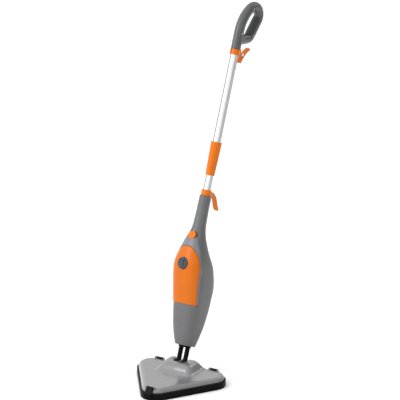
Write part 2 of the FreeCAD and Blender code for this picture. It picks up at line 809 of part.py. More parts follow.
def loop_points():
    """The loop's centre line in the Y-Z plane: (behind the pole axis, above the handle's foot)."""
    bend = size("front_bend")
    grip_heading = 180 + size("grip_slant")
    foot_heading = 270 - size("foot_slope")
    stem_top = (0.0, size("stem_length"))
    front_middle, front_end = walk(stem_top, 0.0, size("front_bend_radius"), bend)
    crown, crown_end = walk(front_end, bend, size("crown_radius"), grip_heading - bend)
    slant = math.radians(size("grip_slant"))
    length = size("grip_length")
    grip_end = (crown_end[0] - length * math.sin(slant), crown_end[1] - length * math.cos(slant))
    foot_middle, foot_end = walk(grip_end, grip_heading, size("loop_foot_radius"), foot_heading - grip_heading)
    drop = (foot_end[0] - 4.0) * math.tan(math.radians(size("foot_slope")))
    strut_end = (4.0, foot_end[1] - drop)
    return {"stem_top": stem_top, "front_middle": front_middle, "front_end": front_end, "crown": crown,
            "crown_end": crown_end, "grip_end": grip_end, "foot_middle": foot_middle, "foot_end": foot_end,
            "strut_end": strut_end}


def in_plane(point):
    return Vector(0, point[0], point[1])


def loop_pipe(radius):
    """A round bar bent to the loop, with its straight stem."""
    points = {name: in_plane(point) for name, point in loop_points().items()}
    stem = Part.makeCylinder(radius, size("stem_length"))
    front = Part.Arc(points["stem_top"], points["front_middle"], points["front_end"])
    crown = Part.Arc(points["front_end"], points["crown"], points["crown_end"])
    grip = Part.makeLine(points["crown_end"], points["grip_end"])
    foot = Part.Arc(points["grip_end"], points["foot_middle"], points["foot_end"])
    strut = Part.makeLine(points["foot_end"], points["strut_end"])
    path = Part.Wire([front.toShape(), crown.toShape(), grip, foot.toShape(), strut])
    profile = Part.Wire(Part.makeCircle(radius, points["stem_top"], Z_AXIS))
    loop = path.makePipeShell([profile], True, False)
    return stem, loop


def make_handle():
    outer_stem, outer_loop = loop_pipe(size("grip_radius"))
    inner_stem, inner_loop = loop_pipe(size("grip_radius") - size("handle_wall"))
    outer = outer_stem.fuse(outer_loop)
    tube_hole = Part.makeCylinder(size("upper_tube_radius"), 41.0)
    shell = outer.cut(inner_loop).cut(inner_stem.common(beyond_foot())).cut(tube_hole)
    holes = handle_screw_holes()
    left_half = Part.makeBox(100, 300, 400, Vector(-100, -100, -50))
    right_half = Part.makeBox(100, 300, 400, Vector(0, -100, -50))
    left = largest_solid(shell.common(left_half))
    right = largest_solid(shell.common(right_half).cut(holes))
    finish(shape_part("handle_left", left), "handle_left", on_pole(handle_bottom()))
    finish(shape_part("handle_right", right), "handle_right", on_pole(handle_bottom()))

    pad_outer = loop_pipe(size("grip_radius") + size("grip_pad_rise"))[1]
    points = loop_points()
    slant = Rotation(X_AXIS, size("grip_slant") * -1)
    span = size("grip_length") + 12.0
    region = Part.makeBox(26, 40, span, Vector(-13, -40, -6))
    region.Placement = Placement(in_plane(points["grip_end"]), slant)
    grip_pad = pad_outer.common(region).cut(outer)
    finish(shape_part("grip_pad", largest_solid(grip_pad)), "grip_pad", on_pole(handle_bottom()))


def beyond_foot():
    """The part of the stem above the tube's end, where the handle is hollow."""
    return Part.makeBox(100, 100, 300, Vector(-50, -50, 46))


def handle_screw_places():
    points = loop_points()
    return [(0.0, 50.0), points["front_end"], points["grip_end"]]


def handle_screw_holes():
    holes = []
    seat = size("grip_radius") - 2.6
    for back, up in handle_screw_places():
        holes.append(Part.makeCylinder(size("screw_head_radius"), 20.0, Vector(seat, back, up), X_AXIS))
        holes.append(Part.makeCylinder(size("screw_radius"), 40.0, Vector(0, back, up), X_AXIS))
    return Part.makeCompound(holes)


def make_handle_screws():
    seat = size("grip_radius") - 2.6
    places = [Placement(Vector(seat, back, up), ALONG_X) for back, up in handle_screw_places()]
    screws("handle_screws", 12.0, places, on_pole(handle_bottom()))


# ---------------------------------------------------------------- neck

def make_neck():
    """The fork: a hub that turns in the housing's floor, and two arms down to the hinge pin."""
    bearing_start = size("housing_bottom") + size("floor_wall")
    gap = size("moving_gap")
    hub_top = bearing_start + size("bearing_height") + gap
    arm_top = size("housing_bottom") - 6.0
    bearing_place = on_body(0, 0, bearing_start)
    ring("swivel_bearing", "sizes.bearing_radius", "sizes.hub_radius + sizes.running_gap",
         "sizes.bearing_height", bearing_place)

    hub = cylinder("hub", "sizes.hub_radius", "%f" % (hub_top - arm_top), Placement(Vector(0, 0, arm_top), Rotation()))
    bind(hub, Height="sizes.floor_wall + 6 + sizes.bearing_height + sizes.moving_gap")
    flange = cylinder("hub_flange", "sizes.bearing_radius - 1", "sizes.flange_height",
                      Placement(Vector(0, 0, hub_top), Rotation()))
    pieces = [hub, flange]
    for side, name in ((-1, "left"), (1, "right")):
        spread = side * size("arm_spread")
        pieces.append(cylinder("arm_" + name, "sizes.arm_radius - sizes.arm_relief", "sizes.housing_bottom - 5",
                               Placement(Vector(spread, 0, 0), Rotation())))
        start = spread - size("arm_radius")
        pieces.append(cylinder("knuckle_" + name, "sizes.arm_radius", "2 * sizes.arm_radius",
                               Placement(Vector(start, 0, 0), ALONG_X)))
    solid = fuse("fork_solid", pieces)
    pin_bore = cylinder("fork_pin_bore", "sizes.pin_radius + sizes.running_gap", "80",
                        Placement(Vector(-40, 0, 0), ALONG_X))
    steam_bore = cylinder("fork_steam_bore", "5 + sizes.running_gap", "60",
                          Placement(Vector(0, 0, hub_top - 10.0), Rotation()))
    finish(cut("neck_fork", solid, fuse("fork_bores", [pin_bore, steam_bore])), "neck_fork", on_neck())

    fitting_bottom = hub_top - 8.0
    boiler_bottom = hub_top + size("flange_height") + 4.0
    fitting = cylinder("steam_fitting", "5", "16", on_body(0, 0, fitting_bottom))
    bind(fitting, Height="8 + sizes.flange_height + 4")
    finish(fitting, "steam_fitting")
    return boiler_bottom


def make_pivot_pin():
    length = 2 * pin_reach()
    body = new_body("pivot_pin")
    sketch = new_sketch(body, "pin_outline")
    add_circle(sketch, "sizes.pin_radius", 4.0)
    add_circle(sketch, "sizes.pin_bore_radius", 2.0)
    pad(body, sketch, "pin_pad", "%f" % length)
    place = Placement(Vector(-pin_reach(), 0, size("pivot_height")), ALONG_X)
    finish(body, "pivot_pin", place)


def pin_reach():
    """Half the pin's length: to just inside the mound's sides."""
    base = size("tray_height") + size("seal_height") + size("cover_height")
    rise = size("pivot_height") - base
    return size("mound_width") / 2 - rise * math.tan(math.radians(size("mound_taper"))) - 6.0


# ---------------------------------------------------------------- inside the housing

def make_inner_parts(boiler_bottom):
    boiler_y = size("frame_front") - size("boiler_radius")
    boiler = new_body("boiler")
    outline = new_sketch(boiler, "boiler_outline")
    add_circle(outline, "sizes.boiler_radius", 20.0)
    drum = pad(boiler, outline, "boiler_pad", "sizes.boiler_height")
    doc.recompute()
    ends = boiler.newObject("PartDesign::Fillet", "boiler_ends")
    ends.Base = (drum, edges_at_height(drum.Shape, 0) + edges_at_height(drum.Shape, size("boiler_height")))
    ends.Radius = 5.0
    finish(boiler, "boiler", on_body(0, boiler_y, boiler_bottom))

    boiler_top = boiler_bottom + size("boiler_height")
    finish(cylinder("thermostat", "9", "6", on_body(0, boiler_y, boiler_top)), "thermostat")

    frame_bottom = boiler_bottom + 4.0
    block("inner_frame", "44", "3", "170", on_body(0, size("frame_front") + 1.5, frame_bottom))

    pump_bottom = boiler_top + 14.0
    pump_y = size("frame_front") - 17.0
    block("pump", "sizes.pump_width", "34", "sizes.pump_height", on_body(0, pump_y, pump_bottom), "4")

    bay_back = size("tank_back") + size("seam_gap") + 2.5
    valve = valve_centre(0.0)
    hose_length = pump_y - 17.0 - bay_back
    hose = ring("feed_hose", "5", "3", "%f" % hose_length, on_body(0, bay_back, valve.z, ALONG_BACK))
    finish_valve(valve)
    board_bottom = size("tank_bottom") + 100.0
    block("circuit_board", "46", "1.6", "78", on_body(0, bay_back + 0.8, board_bottom), "0.5")


def finish_valve(valve):
    """The spring valve in the tank's back wall, which the bay wall's socket opens."""
    start = size("tank_back") - size("tank_wall") - 5.0
    length = size("tank_wall") + 5.0
    piece = cylinder("tank_valve", "5", "%f" % length, on_body(0, start, valve.z, ALONG_BACK))
    finish(piece, "tank_valve")


# ---------------------------------------------------------------- head

def head_circles(inset):
    """The three corner circles of the head's plan: centre and radius."""
    corner = size("corner_radius") - inset
    apex = size("apex_radius") - inset
    front = -size("corner_front")
    return [
        (Vector(0, -size("apex_front"), 0), apex),
        (Vector(size("corner_x"), front, 0), corner),
        (Vector(-size("corner_x"), front, 0), corner),
    ]


def tangent_normal(first, second):
    """The outward normal of the straight side that touches two corner circles."""
    line = second[0].sub(first[0])
    along = Vector(line).normalize()
    outward = Vector(along.y, -along.x, 0)
    lean = (first[1] - second[1]) / line.Length
    return Vector(along).multiply(lean).add(outward.multiply(math.sqrt(1 - lean ** 2)))


def head_outline(sketch, inset_name):
    """The rounded triangle, drawn inside the base tray's edge by a size of the sheet (or by none)."""
    inset_text = " - (%s)" % inset_name if inset_name else ""
    inset = inset_value(inset_name)
    circles = head_circles(inset)
    first = len(sketch.Geometry)
    for index in range(3):
        circle, following = circles[index], circles[(index + 1) % 3]
        previous = circles[index - 1]
        start = tangent_normal(previous, circle)
        end = tangent_normal(circle, following)
        arc = Part.ArcOfCircle(Part.Circle(circle[0], Z_AXIS, circle[1]),
                               math.atan2(start.y, start.x), math.atan2(end.y, end.x))
        sketch.addGeometry(arc, False)
        line_start = circle[0].add(Vector(end).multiply(circle[1]))
        line_end = following[0].add(Vector(end).multiply(following[1]))
        sketch.addGeometry(Part.LineSegment(line_start, line_end), False)
    for index in range(3):
        arc, line = first + 2 * index, first + 2 * index + 1
        next_arc = first + 2 * ((index + 1) % 3)
        sketch.addConstraint(Sketcher.Constraint("Tangent", arc, 2, line, 1))
        sketch.addConstraint(Sketcher.Constraint("Tangent", line, 2, next_arc, 1))
    apex, right, left = first, first + 2, first + 4
    sketch.addConstraint(Sketcher.Constraint("PointOnObject", apex, 3, -2))
    constrain(sketch, "sizes.apex_front", "DistanceY", apex, 3, -1, 1, size("apex_front"))
    constrain(sketch, "sizes.apex_radius" + inset_text, "Radius", apex, circles[0][1])
    constrain(sketch, "sizes.corner_x", "DistanceX", -1, 1, right, 3, size("corner_x"))
    constrain(sketch, "sizes.corner_x", "DistanceX", left, 3, -1, 1, size("corner_x"))
    for corner in (right, left):
        constrain(sketch, "sizes.corner_front", "DistanceY", corner, 3, -1, 1, size("corner_front"))
        constrain(sketch, "sizes.corner_radius" + inset_text, "Radius", corner, circles[1][1])


def inset_value(inset_name):
    """The number behind an inset written as a sum of sheet sizes, such as sizes.a + sizes.b."""
    if not inset_name:
        return 0.0
    total = 0.0
    for term in inset_name.split("+"):
        word = term.strip().replace("sizes.", "")
        total += float(word) if word.replace(".", "").isdigit() else size(word)
    return total


def make_tray():
    """The black base tray: a shallow pan with steam holes in its floor."""
    body = new_body("base_tray")
    outline = new_sketch(body, "tray_outline")
    head_outline(outline, "")
    pan = pad(body, outline, "tray_pad", "sizes.tray_height")
    hollow = new_sketch(body, "tray_hollow_outline", height="sizes.tray_height")
    head_outline(hollow, "sizes.tray_wall")
    pocket(body, hollow, "tray_hollow", "sizes.tray_height - sizes.tray_wall")
    holes = new_sketch(body, "steam_hole_outline", height="sizes.tray_wall")
    for row, count in enumerate((5, 5, 3)):
        for index in range(count):
            add_circle_at(holes, 20.0 * (index - (count - 1) / 2), -30.0 - 34.0 * row, "1.5")
    through = pocket(body, holes, "steam_holes", "sizes.tray_wall")
    screw_recess = new_sketch(body, "screw_recess_outline")
    for x, y in head_screw_places():
        add_circle_at(screw_recess, x, y, "sizes.screw_head_radius")
    pocket(body, screw_recess, "screw_recess", "2.6", reverse=True)
    screw_hole = new_sketch(body, "screw_hole_outline")
    for x, y in head_screw_places():
        add_circle_at(screw_hole, x, y, "sizes.screw_radius")
    pocket(body, screw_hole, "screw_hole", "sizes.tray_wall + 1", reverse=True)
    finish(body, "base_tray", Placement())


def head_screw_places():
    """Five screws up through the tray: two at each back corner's sides and one in the nose."""
    corner = size("corner_x")
    return [(-corner, -12.0), (corner, -12.0), (-0.52 * corner, -76.0), (0.52 * corner, -76.0),
            (0.0, -size("apex_front") - 4.0)]


def make_edge_seal():
    """The thin black seal line between the tray and the cover."""
    body = new_body("edge_seal")
    sketch = new_sketch(body, "seal_outline")
    head_outline(sketch, "sizes.seal_inset")
    head_outline(sketch, "sizes.seal_inset + sizes.tray_wall")
    pad(body, sketch, "seal_pad", "sizes.seal_height")
    finish(body, "edge_seal", Placement(Vector(0, 0, size("tray_height")), Rotation()))


def cover_base():
    return size("tray_height") + size("seal_height")


def cover_top():
    return cover_base() + size("cover_height")


def make_cover():
    """The light cover: a low lid with rounded edges, a mound for the hinge, slots for the arms and screw bosses."""
    body = new_body("head_cover")
    base_text = "sizes.tray_height + sizes.seal_height"
    top_text = base_text + " + sizes.cover_height"
    outline = new_sketch(body, "cover_outline", height=base_text)
    head_outline(outline, "sizes.cover_inset")
    lid = pad(body, outline, "cover_pad", "sizes.cover_height")
    lid.setExpression("TaperAngle", "-atan(sizes.cover_slope_run / sizes.cover_height)")
    doc.recompute()
    edge = body.newObject("PartDesign::Fillet", "cover_edge")
    edge.Base = (lid, edges_at_height(lid.Shape, cover_top()))
    edge.setExpression("Radius", "sizes.cover_edge_radius")

    mound = new_sketch(body, "mound_outline", height=top_text)
    add_rectangle(mound, "sizes.mound_width / 2", "sizes.mound_width / 2", "sizes.mound_front", "sizes.mound_back")
    raised = pad(body, mound, "mound_pad", "sizes.mound_height")
    raised.setExpression("TaperAngle", "-sizes.mound_taper")
    doc.recompute()
    soft = body.newObject("PartDesign::Fillet", "mound_edges")
    soft.Base = (raised, edges_at_height(raised.Shape, cover_top() + size("mound_height")))
    soft.Radius = 5.0

    hollow = new_sketch(body, "cover_hollow_outline", height=base_text)
    head_outline(hollow, "sizes.cover_inset + sizes.cover_slope_run + sizes.cover_wall")
    pocket(body, hollow, "cover_hollow", "sizes.cover_height - sizes.cover_wall", reverse=True)

    slots = new_sketch(body, "arm_slot_outline", height="sizes.slot_floor")
    inner = "sizes.arm_spread - sizes.arm_radius - sizes.moving_gap"
    outer = "sizes.arm_spread + sizes.arm_radius + sizes.moving_gap"
    add_rectangle(slots, "-1 * (%s)" % inner, outer, "sizes.arm_radius + 11", "sizes.mound_back + 20")
    add_rectangle(slots, outer, "-1 * (%s)" % inner, "sizes.arm_radius + 11", "sizes.mound_back + 20")
    pocket(body, slots, "arm_slots", "60", reverse=True)

    bore = new_sketch(body, "pin_bore_outline", role="YZ_Plane")
    circle = bore.addGeometry(Part.Circle(Vector(0, size("pivot_height"), 0), Z_AXIS, size("pin_radius")), False)
    bore.addConstraint(Sketcher.Constraint("PointOnObject", circle, 3, -2))
    constrain(bore, "sizes.pivot_height", "DistanceY", -1, 1, circle, 3, size("pivot_height"))
    constrain(bore, "sizes.pin_radius", "Radius", circle, size("pin_radius"))
    pocket(body, bore, "pin_bore", "2 * sizes.mound_width", both=True)
    finish(body, "head_cover", Placement())

    posts = []
    reach = cover_top() - size("cover_wall") - size("tray_wall")
    for x, y in head_screw_places():
        post = Part.makeCylinder(5.0, reach, Vector(x, y, size("tray_wall")))
        posts.append(post.cut(Part.makeCylinder(size("screw_radius"), 18.0, Vector(x, y, size("tray_wall")))))
    finish(shape_part("head_posts", Part.makeCompound(posts)), "head_posts", Placement())


def make_head_screws():
    down = Rotation(X_AXIS, 180)
    places = [Placement(Vector(x, y, 2.6), down) for x, y in head_screw_places()]
    screws("head_screws", 17.0, places, Placement())


def make_steam_parts():
    """The spray plate on the tray's floor and the manifold that feeds it from the hinge pin."""
    body = new_body("spray_plate")
    sketch = new_sketch(body, "spray_outline")
    add_rectangle(sketch, "48", "48", "112", "-16")
    pad(body, sketch, "spray_pad", "2")
    holes = new_sketch(body, "spray_hole_outline", height="2")
    for row, count in enumerate((5, 5, 3)):
        for index in range(count):
            add_circle_at(holes, 20.0 * (index - (count - 1) / 2), -30.0 - 34.0 * row, "1.5")
    pocket(body, holes, "spray_holes", "2")
    finish(body, "spray_plate", Placement(Vector(0, 0, size("tray_wall")), Rotation()))
    height = cover_top() - size("cover_wall") - size("tray_wall") - 2.0
    block("steam_manifold", "36", "12", "%f" % height, Placement(Vector(0, -44, size("tray_wall") + 2.0), Rotation()), "3")


# ---------------------------------------------------------------- cloth clips

def clip_places():
    """Where each clip sits: a point on the tray's edge and the way out of the head."""
    back = size("corner_radius") - size("corner_front")
    front = -size("apex_front") - size("apex_radius")
    return {
        "front": (Vector(0, front, 0), Rotation(Z_AXIS, 0)),
        "left": (Vector(-size("clip_x"), back, 0), Rotation(Z_AXIS, 180)),
        "right": (Vector(size("clip_x"), back, 0), Rotation(Z_AXIS, 180)),
    }


def clip_pin_height():
    return cover_top() + 2.5


def make_clips():
    """Three clips: each leans over the cover's edge, drops down the tray's side and turns on a pin
    between two lugs. It is drawn with the way out along -Y and its knuckle at the origin."""
    width = size("clip_width")
    half = width / 2
    reach = clip_reach()
    gap = size("moving_gap")
    lug_width = 3.5
    lugs, pins = [], []
    for name, (edge, turn) in clip_places().items():
        place = Placement(Vector(edge.x, edge.y, clip_pin_height()), turn)
        place = place.multiply(Placement(Vector(0, reach, 0), Rotation()))
        finish(shape_part("clip_" + name, clip_shape(width, reach)), "clip_" + name, place)
        for start in (half + gap, -half - gap - lug_width):
            lug = Part.makeBox(lug_width, 7.0, 5.0, Vector(start, -3.0, -2.5))
            lug = lug.cut(Part.makeCylinder(1.5, width + 30, Vector(-half - 15, 0, 0), X_AXIS))
            lug.Placement = place
            lugs.append(lug)
        pin_half = half + gap + lug_width
        pin = Part.makeCylinder(1.5, 2 * pin_half, Vector(-pin_half, 0, 0), X_AXIS)
        pin.Placement = place
        pins.append(pin)
    finish(shape_part("clip_lugs", Part.makeCompound(lugs)), "clip_lugs", Placement())
    finish(shape_part("clip_pins", Part.makeCompound(pins)), "clip_pins", Placement())


def clip_reach():
    """From the tray's edge in to the clip's hinge pin."""
    return size("cover_inset") + size("cover_slope_run") + 2.0


def clip_shape(width, reach):
    """A knuckle, a sloping tab over the cover's shoulder, and a wall down the tray's side."""
    wall = size("clip_thickness")
    shoulder = size("tray_height") - clip_pin_height() + 1.0
    outside = -reach - 0.8
    profile = [
        (0.0, 2.2), (-3.5, 2.2), (outside - wall, shoulder + 2.0), (outside - wall, -size("clip_drop")),
        (outside, -size("clip_drop")), (outside, shoulder), (-2.0, -2.2), (0.0, -2.2),
    ]
    corners = [Vector(-width / 2, y, z) for y, z in profile]
    face = Part.Face(Part.makePolygon(corners + corners[:1]))
    plate = face.extrude(Vector(width, 0, 0))
    knuckle = Part.makeCylinder(2.2, width, Vector(-width / 2, 0, 0), X_AXIS)
    bore = Part.makeCylinder(1.5 + size("running_gap"), width, Vector(-width / 2, 0, 0), X_AXIS)
    return plate.fuse(knuckle).cut(bore).removeSplitter()


# ---------------------------------------------------------------- build and write

def check(piece):
    if "Invalid" in piece.State or "Error" in piece.State:
        raise RuntimeError("%s failed: %s" % (piece.Label, piece.State))


def build():
    fill_sheet()
    cavity = make_housing()
    make_housing_screws()
    make_cord_gland()
    make_tank(cavity)
    make_filler_cap()
    make_release_button()
    make_pole()
    make_sleeve()
    make_lower_collar()
    make_upper_collar()
    make_upper_hook()
    make_handle()
    make_handle_screws()
    boiler_bottom = make_neck()
    make_pivot_pin()
    make_inner_parts(boiler_bottom)
    make_tray()
    make_edge_seal()
    make_cover()
    make_head_screws()
    make_steam_parts()
    make_clips()
    doc.recompute()
    for piece in doc.Objects:
        check(piece)
    for piece in subparts:
        if piece.Shape.isNull() or not piece.Shape.isValid():
            raise RuntimeError("%s has no valid shape" % piece.Label)
    os.makedirs("parts", exist_ok=True)
    for piece in subparts:
        piece.Shape.exportStep("parts/%s.step" % piece.Label)
        print("%-20s %2d solids %10.1f mm3" % (piece.Label, len(piece.Shape.Solids), piece.Shape.Volume))


build()
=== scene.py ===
import json
import math

import bmesh
import bpy
import numpy as np
from mathutils import Matrix, Vector

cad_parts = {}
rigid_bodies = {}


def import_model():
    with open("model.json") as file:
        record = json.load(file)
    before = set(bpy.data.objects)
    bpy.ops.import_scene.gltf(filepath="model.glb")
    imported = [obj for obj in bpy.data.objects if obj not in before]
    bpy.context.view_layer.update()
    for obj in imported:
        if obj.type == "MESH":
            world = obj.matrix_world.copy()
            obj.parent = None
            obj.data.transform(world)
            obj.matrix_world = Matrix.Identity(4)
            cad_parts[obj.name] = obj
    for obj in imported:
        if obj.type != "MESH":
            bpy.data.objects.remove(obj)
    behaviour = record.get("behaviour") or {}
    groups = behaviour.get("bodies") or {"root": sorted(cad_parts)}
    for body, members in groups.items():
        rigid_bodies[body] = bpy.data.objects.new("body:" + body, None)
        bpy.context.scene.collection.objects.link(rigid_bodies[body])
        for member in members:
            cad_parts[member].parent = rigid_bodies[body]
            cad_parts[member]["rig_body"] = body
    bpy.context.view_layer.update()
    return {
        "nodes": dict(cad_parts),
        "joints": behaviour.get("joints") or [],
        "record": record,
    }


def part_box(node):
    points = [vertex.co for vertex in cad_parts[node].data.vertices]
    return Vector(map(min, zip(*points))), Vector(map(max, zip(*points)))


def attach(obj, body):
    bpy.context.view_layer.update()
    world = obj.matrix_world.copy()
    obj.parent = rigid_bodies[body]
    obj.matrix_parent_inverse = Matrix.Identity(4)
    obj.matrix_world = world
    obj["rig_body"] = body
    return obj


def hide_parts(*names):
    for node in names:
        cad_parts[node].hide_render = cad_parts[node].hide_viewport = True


bl_info = {
    "name": "Steam Mop Finish",
    "version": (1, 0, 0),
    "blender": (4, 5, 0),
    "location": "View3D > Sidebar > Steam Mop",
    "description": "Builds the finished pieces of a steam mop around its engineering parts",
    "category": "Object",
}

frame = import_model()
NODES = frame["nodes"]
JOINTS = {joint["name"]: joint for joint in frame["joints"]}
SLOT_OF = {part["node"]: part["material_slot"] for part in frame["record"]["subparts"]}
MM = 0.001

# ---------------------------------------------------------------- where things are

PIVOT = Vector(JOINTS["neck_pitch"]["pos_m"])
POLE_UP = Vector(JOINTS["sleeve_twist"]["axis"]).normalized()
BODY_BACK = Vector(JOINTS["upper_hook_turn"]["axis"]).normalized()
BODY_RIGHT = BODY_BACK.cross(POLE_UP).normalized()
BODY_TURN = Matrix((BODY_RIGHT, BODY_BACK, POLE_UP)).transposed()
POLE_OFFSET = 52.0

# The housing's outline: share of its height, half width as a share, reach in front of and behind the pole
# axis, and squareness (2 is an ellipse). Millimetres.
HOUSING_FOOT = 54.0
HOUSING_HEIGHT = 472.0
HOUSING_HALF_WIDTH = 55.5
HOUSING_SECTIONS = (
    (0.396, 0.985, 29.0, 94.0, 3.0),
    (0.465, 1.000, 40.0, 86.0, 2.9),
    (0.537, 0.960, 47.5, 72.5, 2.8),
    (0.620, 0.810, 42.5, 47.0, 2.5),
    (0.685, 0.640, 35.5, 31.0, 2.3),
    (0.729, 0.520, 29.5, 26.0, 2.1),
    (0.777, 0.400, 23.0, 22.0, 2.0),
    (0.840, 0.366, 20.2, 19.6, 2.0),
)
LOWER_SECTION = (0.262, 0.900, 10.0, 95.0, 3.0)

TANK_BOTTOM = 182.0
TANK_SHOULDER = 290.0
TANK_FOOT = 45.0
TANK_SIDE = 50.5
TANK_ARCH = 73.0
TANK_BACK = -40.0
BEZEL_RIM = 2.6
BEZEL_RISE = 135.0
BEZEL_FLANK = 0.715
FOOT_POINTS = 20                     # outline points along half of the tank's foot and its corner
TANK_CENTRE = (0.0, 262.0)           # where the rows of the tank's front draw together
CAP_RADIUS = 19.0
BUTTON_RADIUS = 14.0

# The head's plan: centre and radius of its three rounded corners, and its heights.
HEAD_CORNERS = (((0.0, -157.0), 50.0), ((105.0, -1.0), 48.0), ((-105.0, -1.0), 48.0))
COVER_BASE = 23.0
COVER_TOP = 36.0
COVER_INSET = 5.0
MOUND_TOP = 27.0
COVER_CENTRE = (0.0, -28.0)          # where the rows of the cover draw together

# The pole: heights up the neck axis and radii.
NECK_TOP = 526.0
UPPER_COLLAR_FOOT = 976.0
HANDLE_FOOT = 995.0
COLLAR_RADIUS = 16.0
SLEEVE_LENGTH = 106.5
SLEEVE_FOOT_RADIUS = 14.5
SLEEVE_FLARE = 3.0
TUBE_LIP_BORE = 11.9
TUBE_BORE = 13.1
GRIP_LINE = (Vector((82.4, 97.4)), Vector((60.4, 48.1)))     # middle of the rear grip, from the handle's foot


def in_body(x, y, z):
    """A point given in the housing's own millimetres: right, back from the neck axis, up the neck axis."""
    return PIVOT + BODY_TURN @ Vector((x, y, z)) * MM


def section(station):
    """The housing's outline at a height up the neck axis."""
    rows = (LOWER_SECTION,) + HOUSING_SECTIONS
    share = (station - HOUSING_FOOT) / HOUSING_HEIGHT
    share = min(max(share, rows[0][0]), rows[-1][0])
    index = max(number for number, row in enumerate(rows[:-1]) if row[0] <= share)
    span = rows[index + 1][0] - rows[index][0]
    part = (share - rows[index][0]) / span
    return [cubic(rows, column, index, part, span) for column in (1, 2, 3, 4)]


def cubic(rows, column, index, part, span):
    start, end = rows[index][column], rows[index + 1][column]
    first = row_slope(rows, column, index) * span
    last = row_slope(rows, column, index + 1) * span
    return (start * (1 + 2 * part) * (1 - part) ** 2 + first * part * (1 - part) ** 2
            + end * part ** 2 * (3 - 2 * part) - last * part ** 2 * (1 - part))


def row_slope(rows, column, index):
    if index in (0, len(rows) - 1):
        near, far = (0, 1) if index == 0 else (index - 1, index)
        return (rows[far][column] - rows[near][column]) / (rows[far][0] - rows[near][0])
    before = (rows[index][column] - rows[index - 1][column]) / (rows[index][0] - rows[index - 1][0])
    after = (rows[index + 1][column] - rows[index][column]) / (rows[index + 1][0] - rows[index][0])
    return 0.0 if before * after <= 0 else 2 * before * after / (before + after)


def front_skin(x, station, rise):
    """The point on the housing's front, `rise` proud of its skin."""
    width_share, front, back, squareness = section(station)
    half_width = width_share * HOUSING_HALF_WIDTH + rise
    centre = (back - front) / 2 - POLE_OFFSET
    depth = (back + front) / 2 + rise
    across = min(abs(x) / half_width, 0.9995)
    return in_body(x, centre - depth * (1 - across ** squareness) ** (1 / squareness), station)


# ---------------------------------------------------------------- settings

class PlasticSettings(bpy.types.PropertyGroup):
    """Colours of the moulded pieces."""
    shell: bpy.props.FloatVectorProperty(
        name="Shell", description="Housing and handle colour", subtype="COLOR", size=3,
        min=0.0, max=1.0, default=(0.118, 0.119, 0.122))
    bezel: bpy.props.FloatVectorProperty(
        name="Bezel", description="Lighter plate round the tank and the button", subtype="COLOR", size=3,
        min=0.0, max=1.0, default=(0.165, 0.175, 0.192))
    cover: bpy.props.FloatVectorProperty(
        name="Head cover", description="Glossy lid of the steam head", subtype="COLOR", size=3,
        min=0.0, max=1.0, default=(0.175, 0.176, 0.181))
    orange: bpy.props.FloatVectorProperty(
        name="Orange", description="Tank, sleeve, collars, hooks and button", subtype="COLOR", size=3,
        min=0.0, max=1.0, default=(0.68, 0.150, 0.0))
    black: bpy.props.FloatVectorProperty(
        name="Black", description="Tray, neck and clips", subtype="COLOR", size=3,
        min=0.0, max=1.0, default=(0.0030, 0.0030, 0.0032))


class DetailSettings(bpy.types.PropertyGroup):
    """Counts and sizes of the fine details."""
    flute_count: bpy.props.IntProperty(
        name="Sleeve flutes", description="Flutes round the coupling sleeve", default=14, min=6, max=30)
    flute_depth: bpy.props.FloatProperty(
        name="Flute depth", description="Depth of a flute", default=0.0009, min=0.0, max=0.002,
        unit="LENGTH", precision=5)
    grip_ribs: bpy.props.IntProperty(
        name="Grip ribs", description="Ribs along the inside of the grip", default=17, min=5, max=30)
    cap_teeth: bpy.props.IntProperty(
        name="Cap teeth", description="Fine teeth round the filler cap", default=40, min=12, max=80)
    seam_width: bpy.props.FloatProperty(
        name="Edge rounding", description="Rounding of the tank's and bezel's edges", default=0.0018,
        min=0.0005, max=0.004, unit="LENGTH", precision=5)


class StageSettings(bpy.types.PropertyGroup):
    """Camera, floor and light."""
    azimuth: bpy.props.FloatProperty(
        name="Azimuth", description="Camera's turn round the mop", default=math.radians(30.0),
        subtype="ANGLE")
    elevation: bpy.props.FloatProperty(
        name="Elevation", description="Camera's height angle", default=math.radians(22.1), subtype="ANGLE")
    view_height: bpy.props.FloatProperty(
        name="View size", description="Width of the view", default=1.25, min=0.1, max=5.0, unit="LENGTH")
    floor_tone: bpy.props.FloatVectorProperty(
        name="Floor", description="Colour of the plain floor", subtype="COLOR", size=3,
        min=0.0, max=1.0, default=(0.96, 0.96, 0.96))


def plastics():
    return bpy.context.scene.mop_plastics


def details():
    return bpy.context.scene.mop_details


# ---------------------------------------------------------------- shader maths

class Value:
    """A number in a shader: Python's operators on it add Math nodes."""

    def __init__(self, paint, socket):
        self.paint = paint
        self.socket = socket

    def math(self, operation, *others):
        sockets = [other.socket if isinstance(other, Value) else other for other in others]
        return self.paint.node("ShaderNodeMath", {"operation": operation}, *sockets)

    def __add__(self, other):
        return self.math("ADD", self, other)

    __radd__ = __add__

    def __sub__(self, other):
        return self.math("SUBTRACT", self, other)

    def __rsub__(self, other):
        return self.math("SUBTRACT", other, self)

    def __mul__(self, other):
        return self.math("MULTIPLY", self, other)

    __rmul__ = __mul__

    def __truediv__(self, other):
        return self.math("DIVIDE", self, other)

    def above(self, low, high):
        """0 below `low`, 1 above `high`, smooth between."""
        smooth = {"interpolation_type": "SMOOTHSTEP"}
        return self.paint.node("ShaderNodeMapRange", smooth, self.socket, low, high)


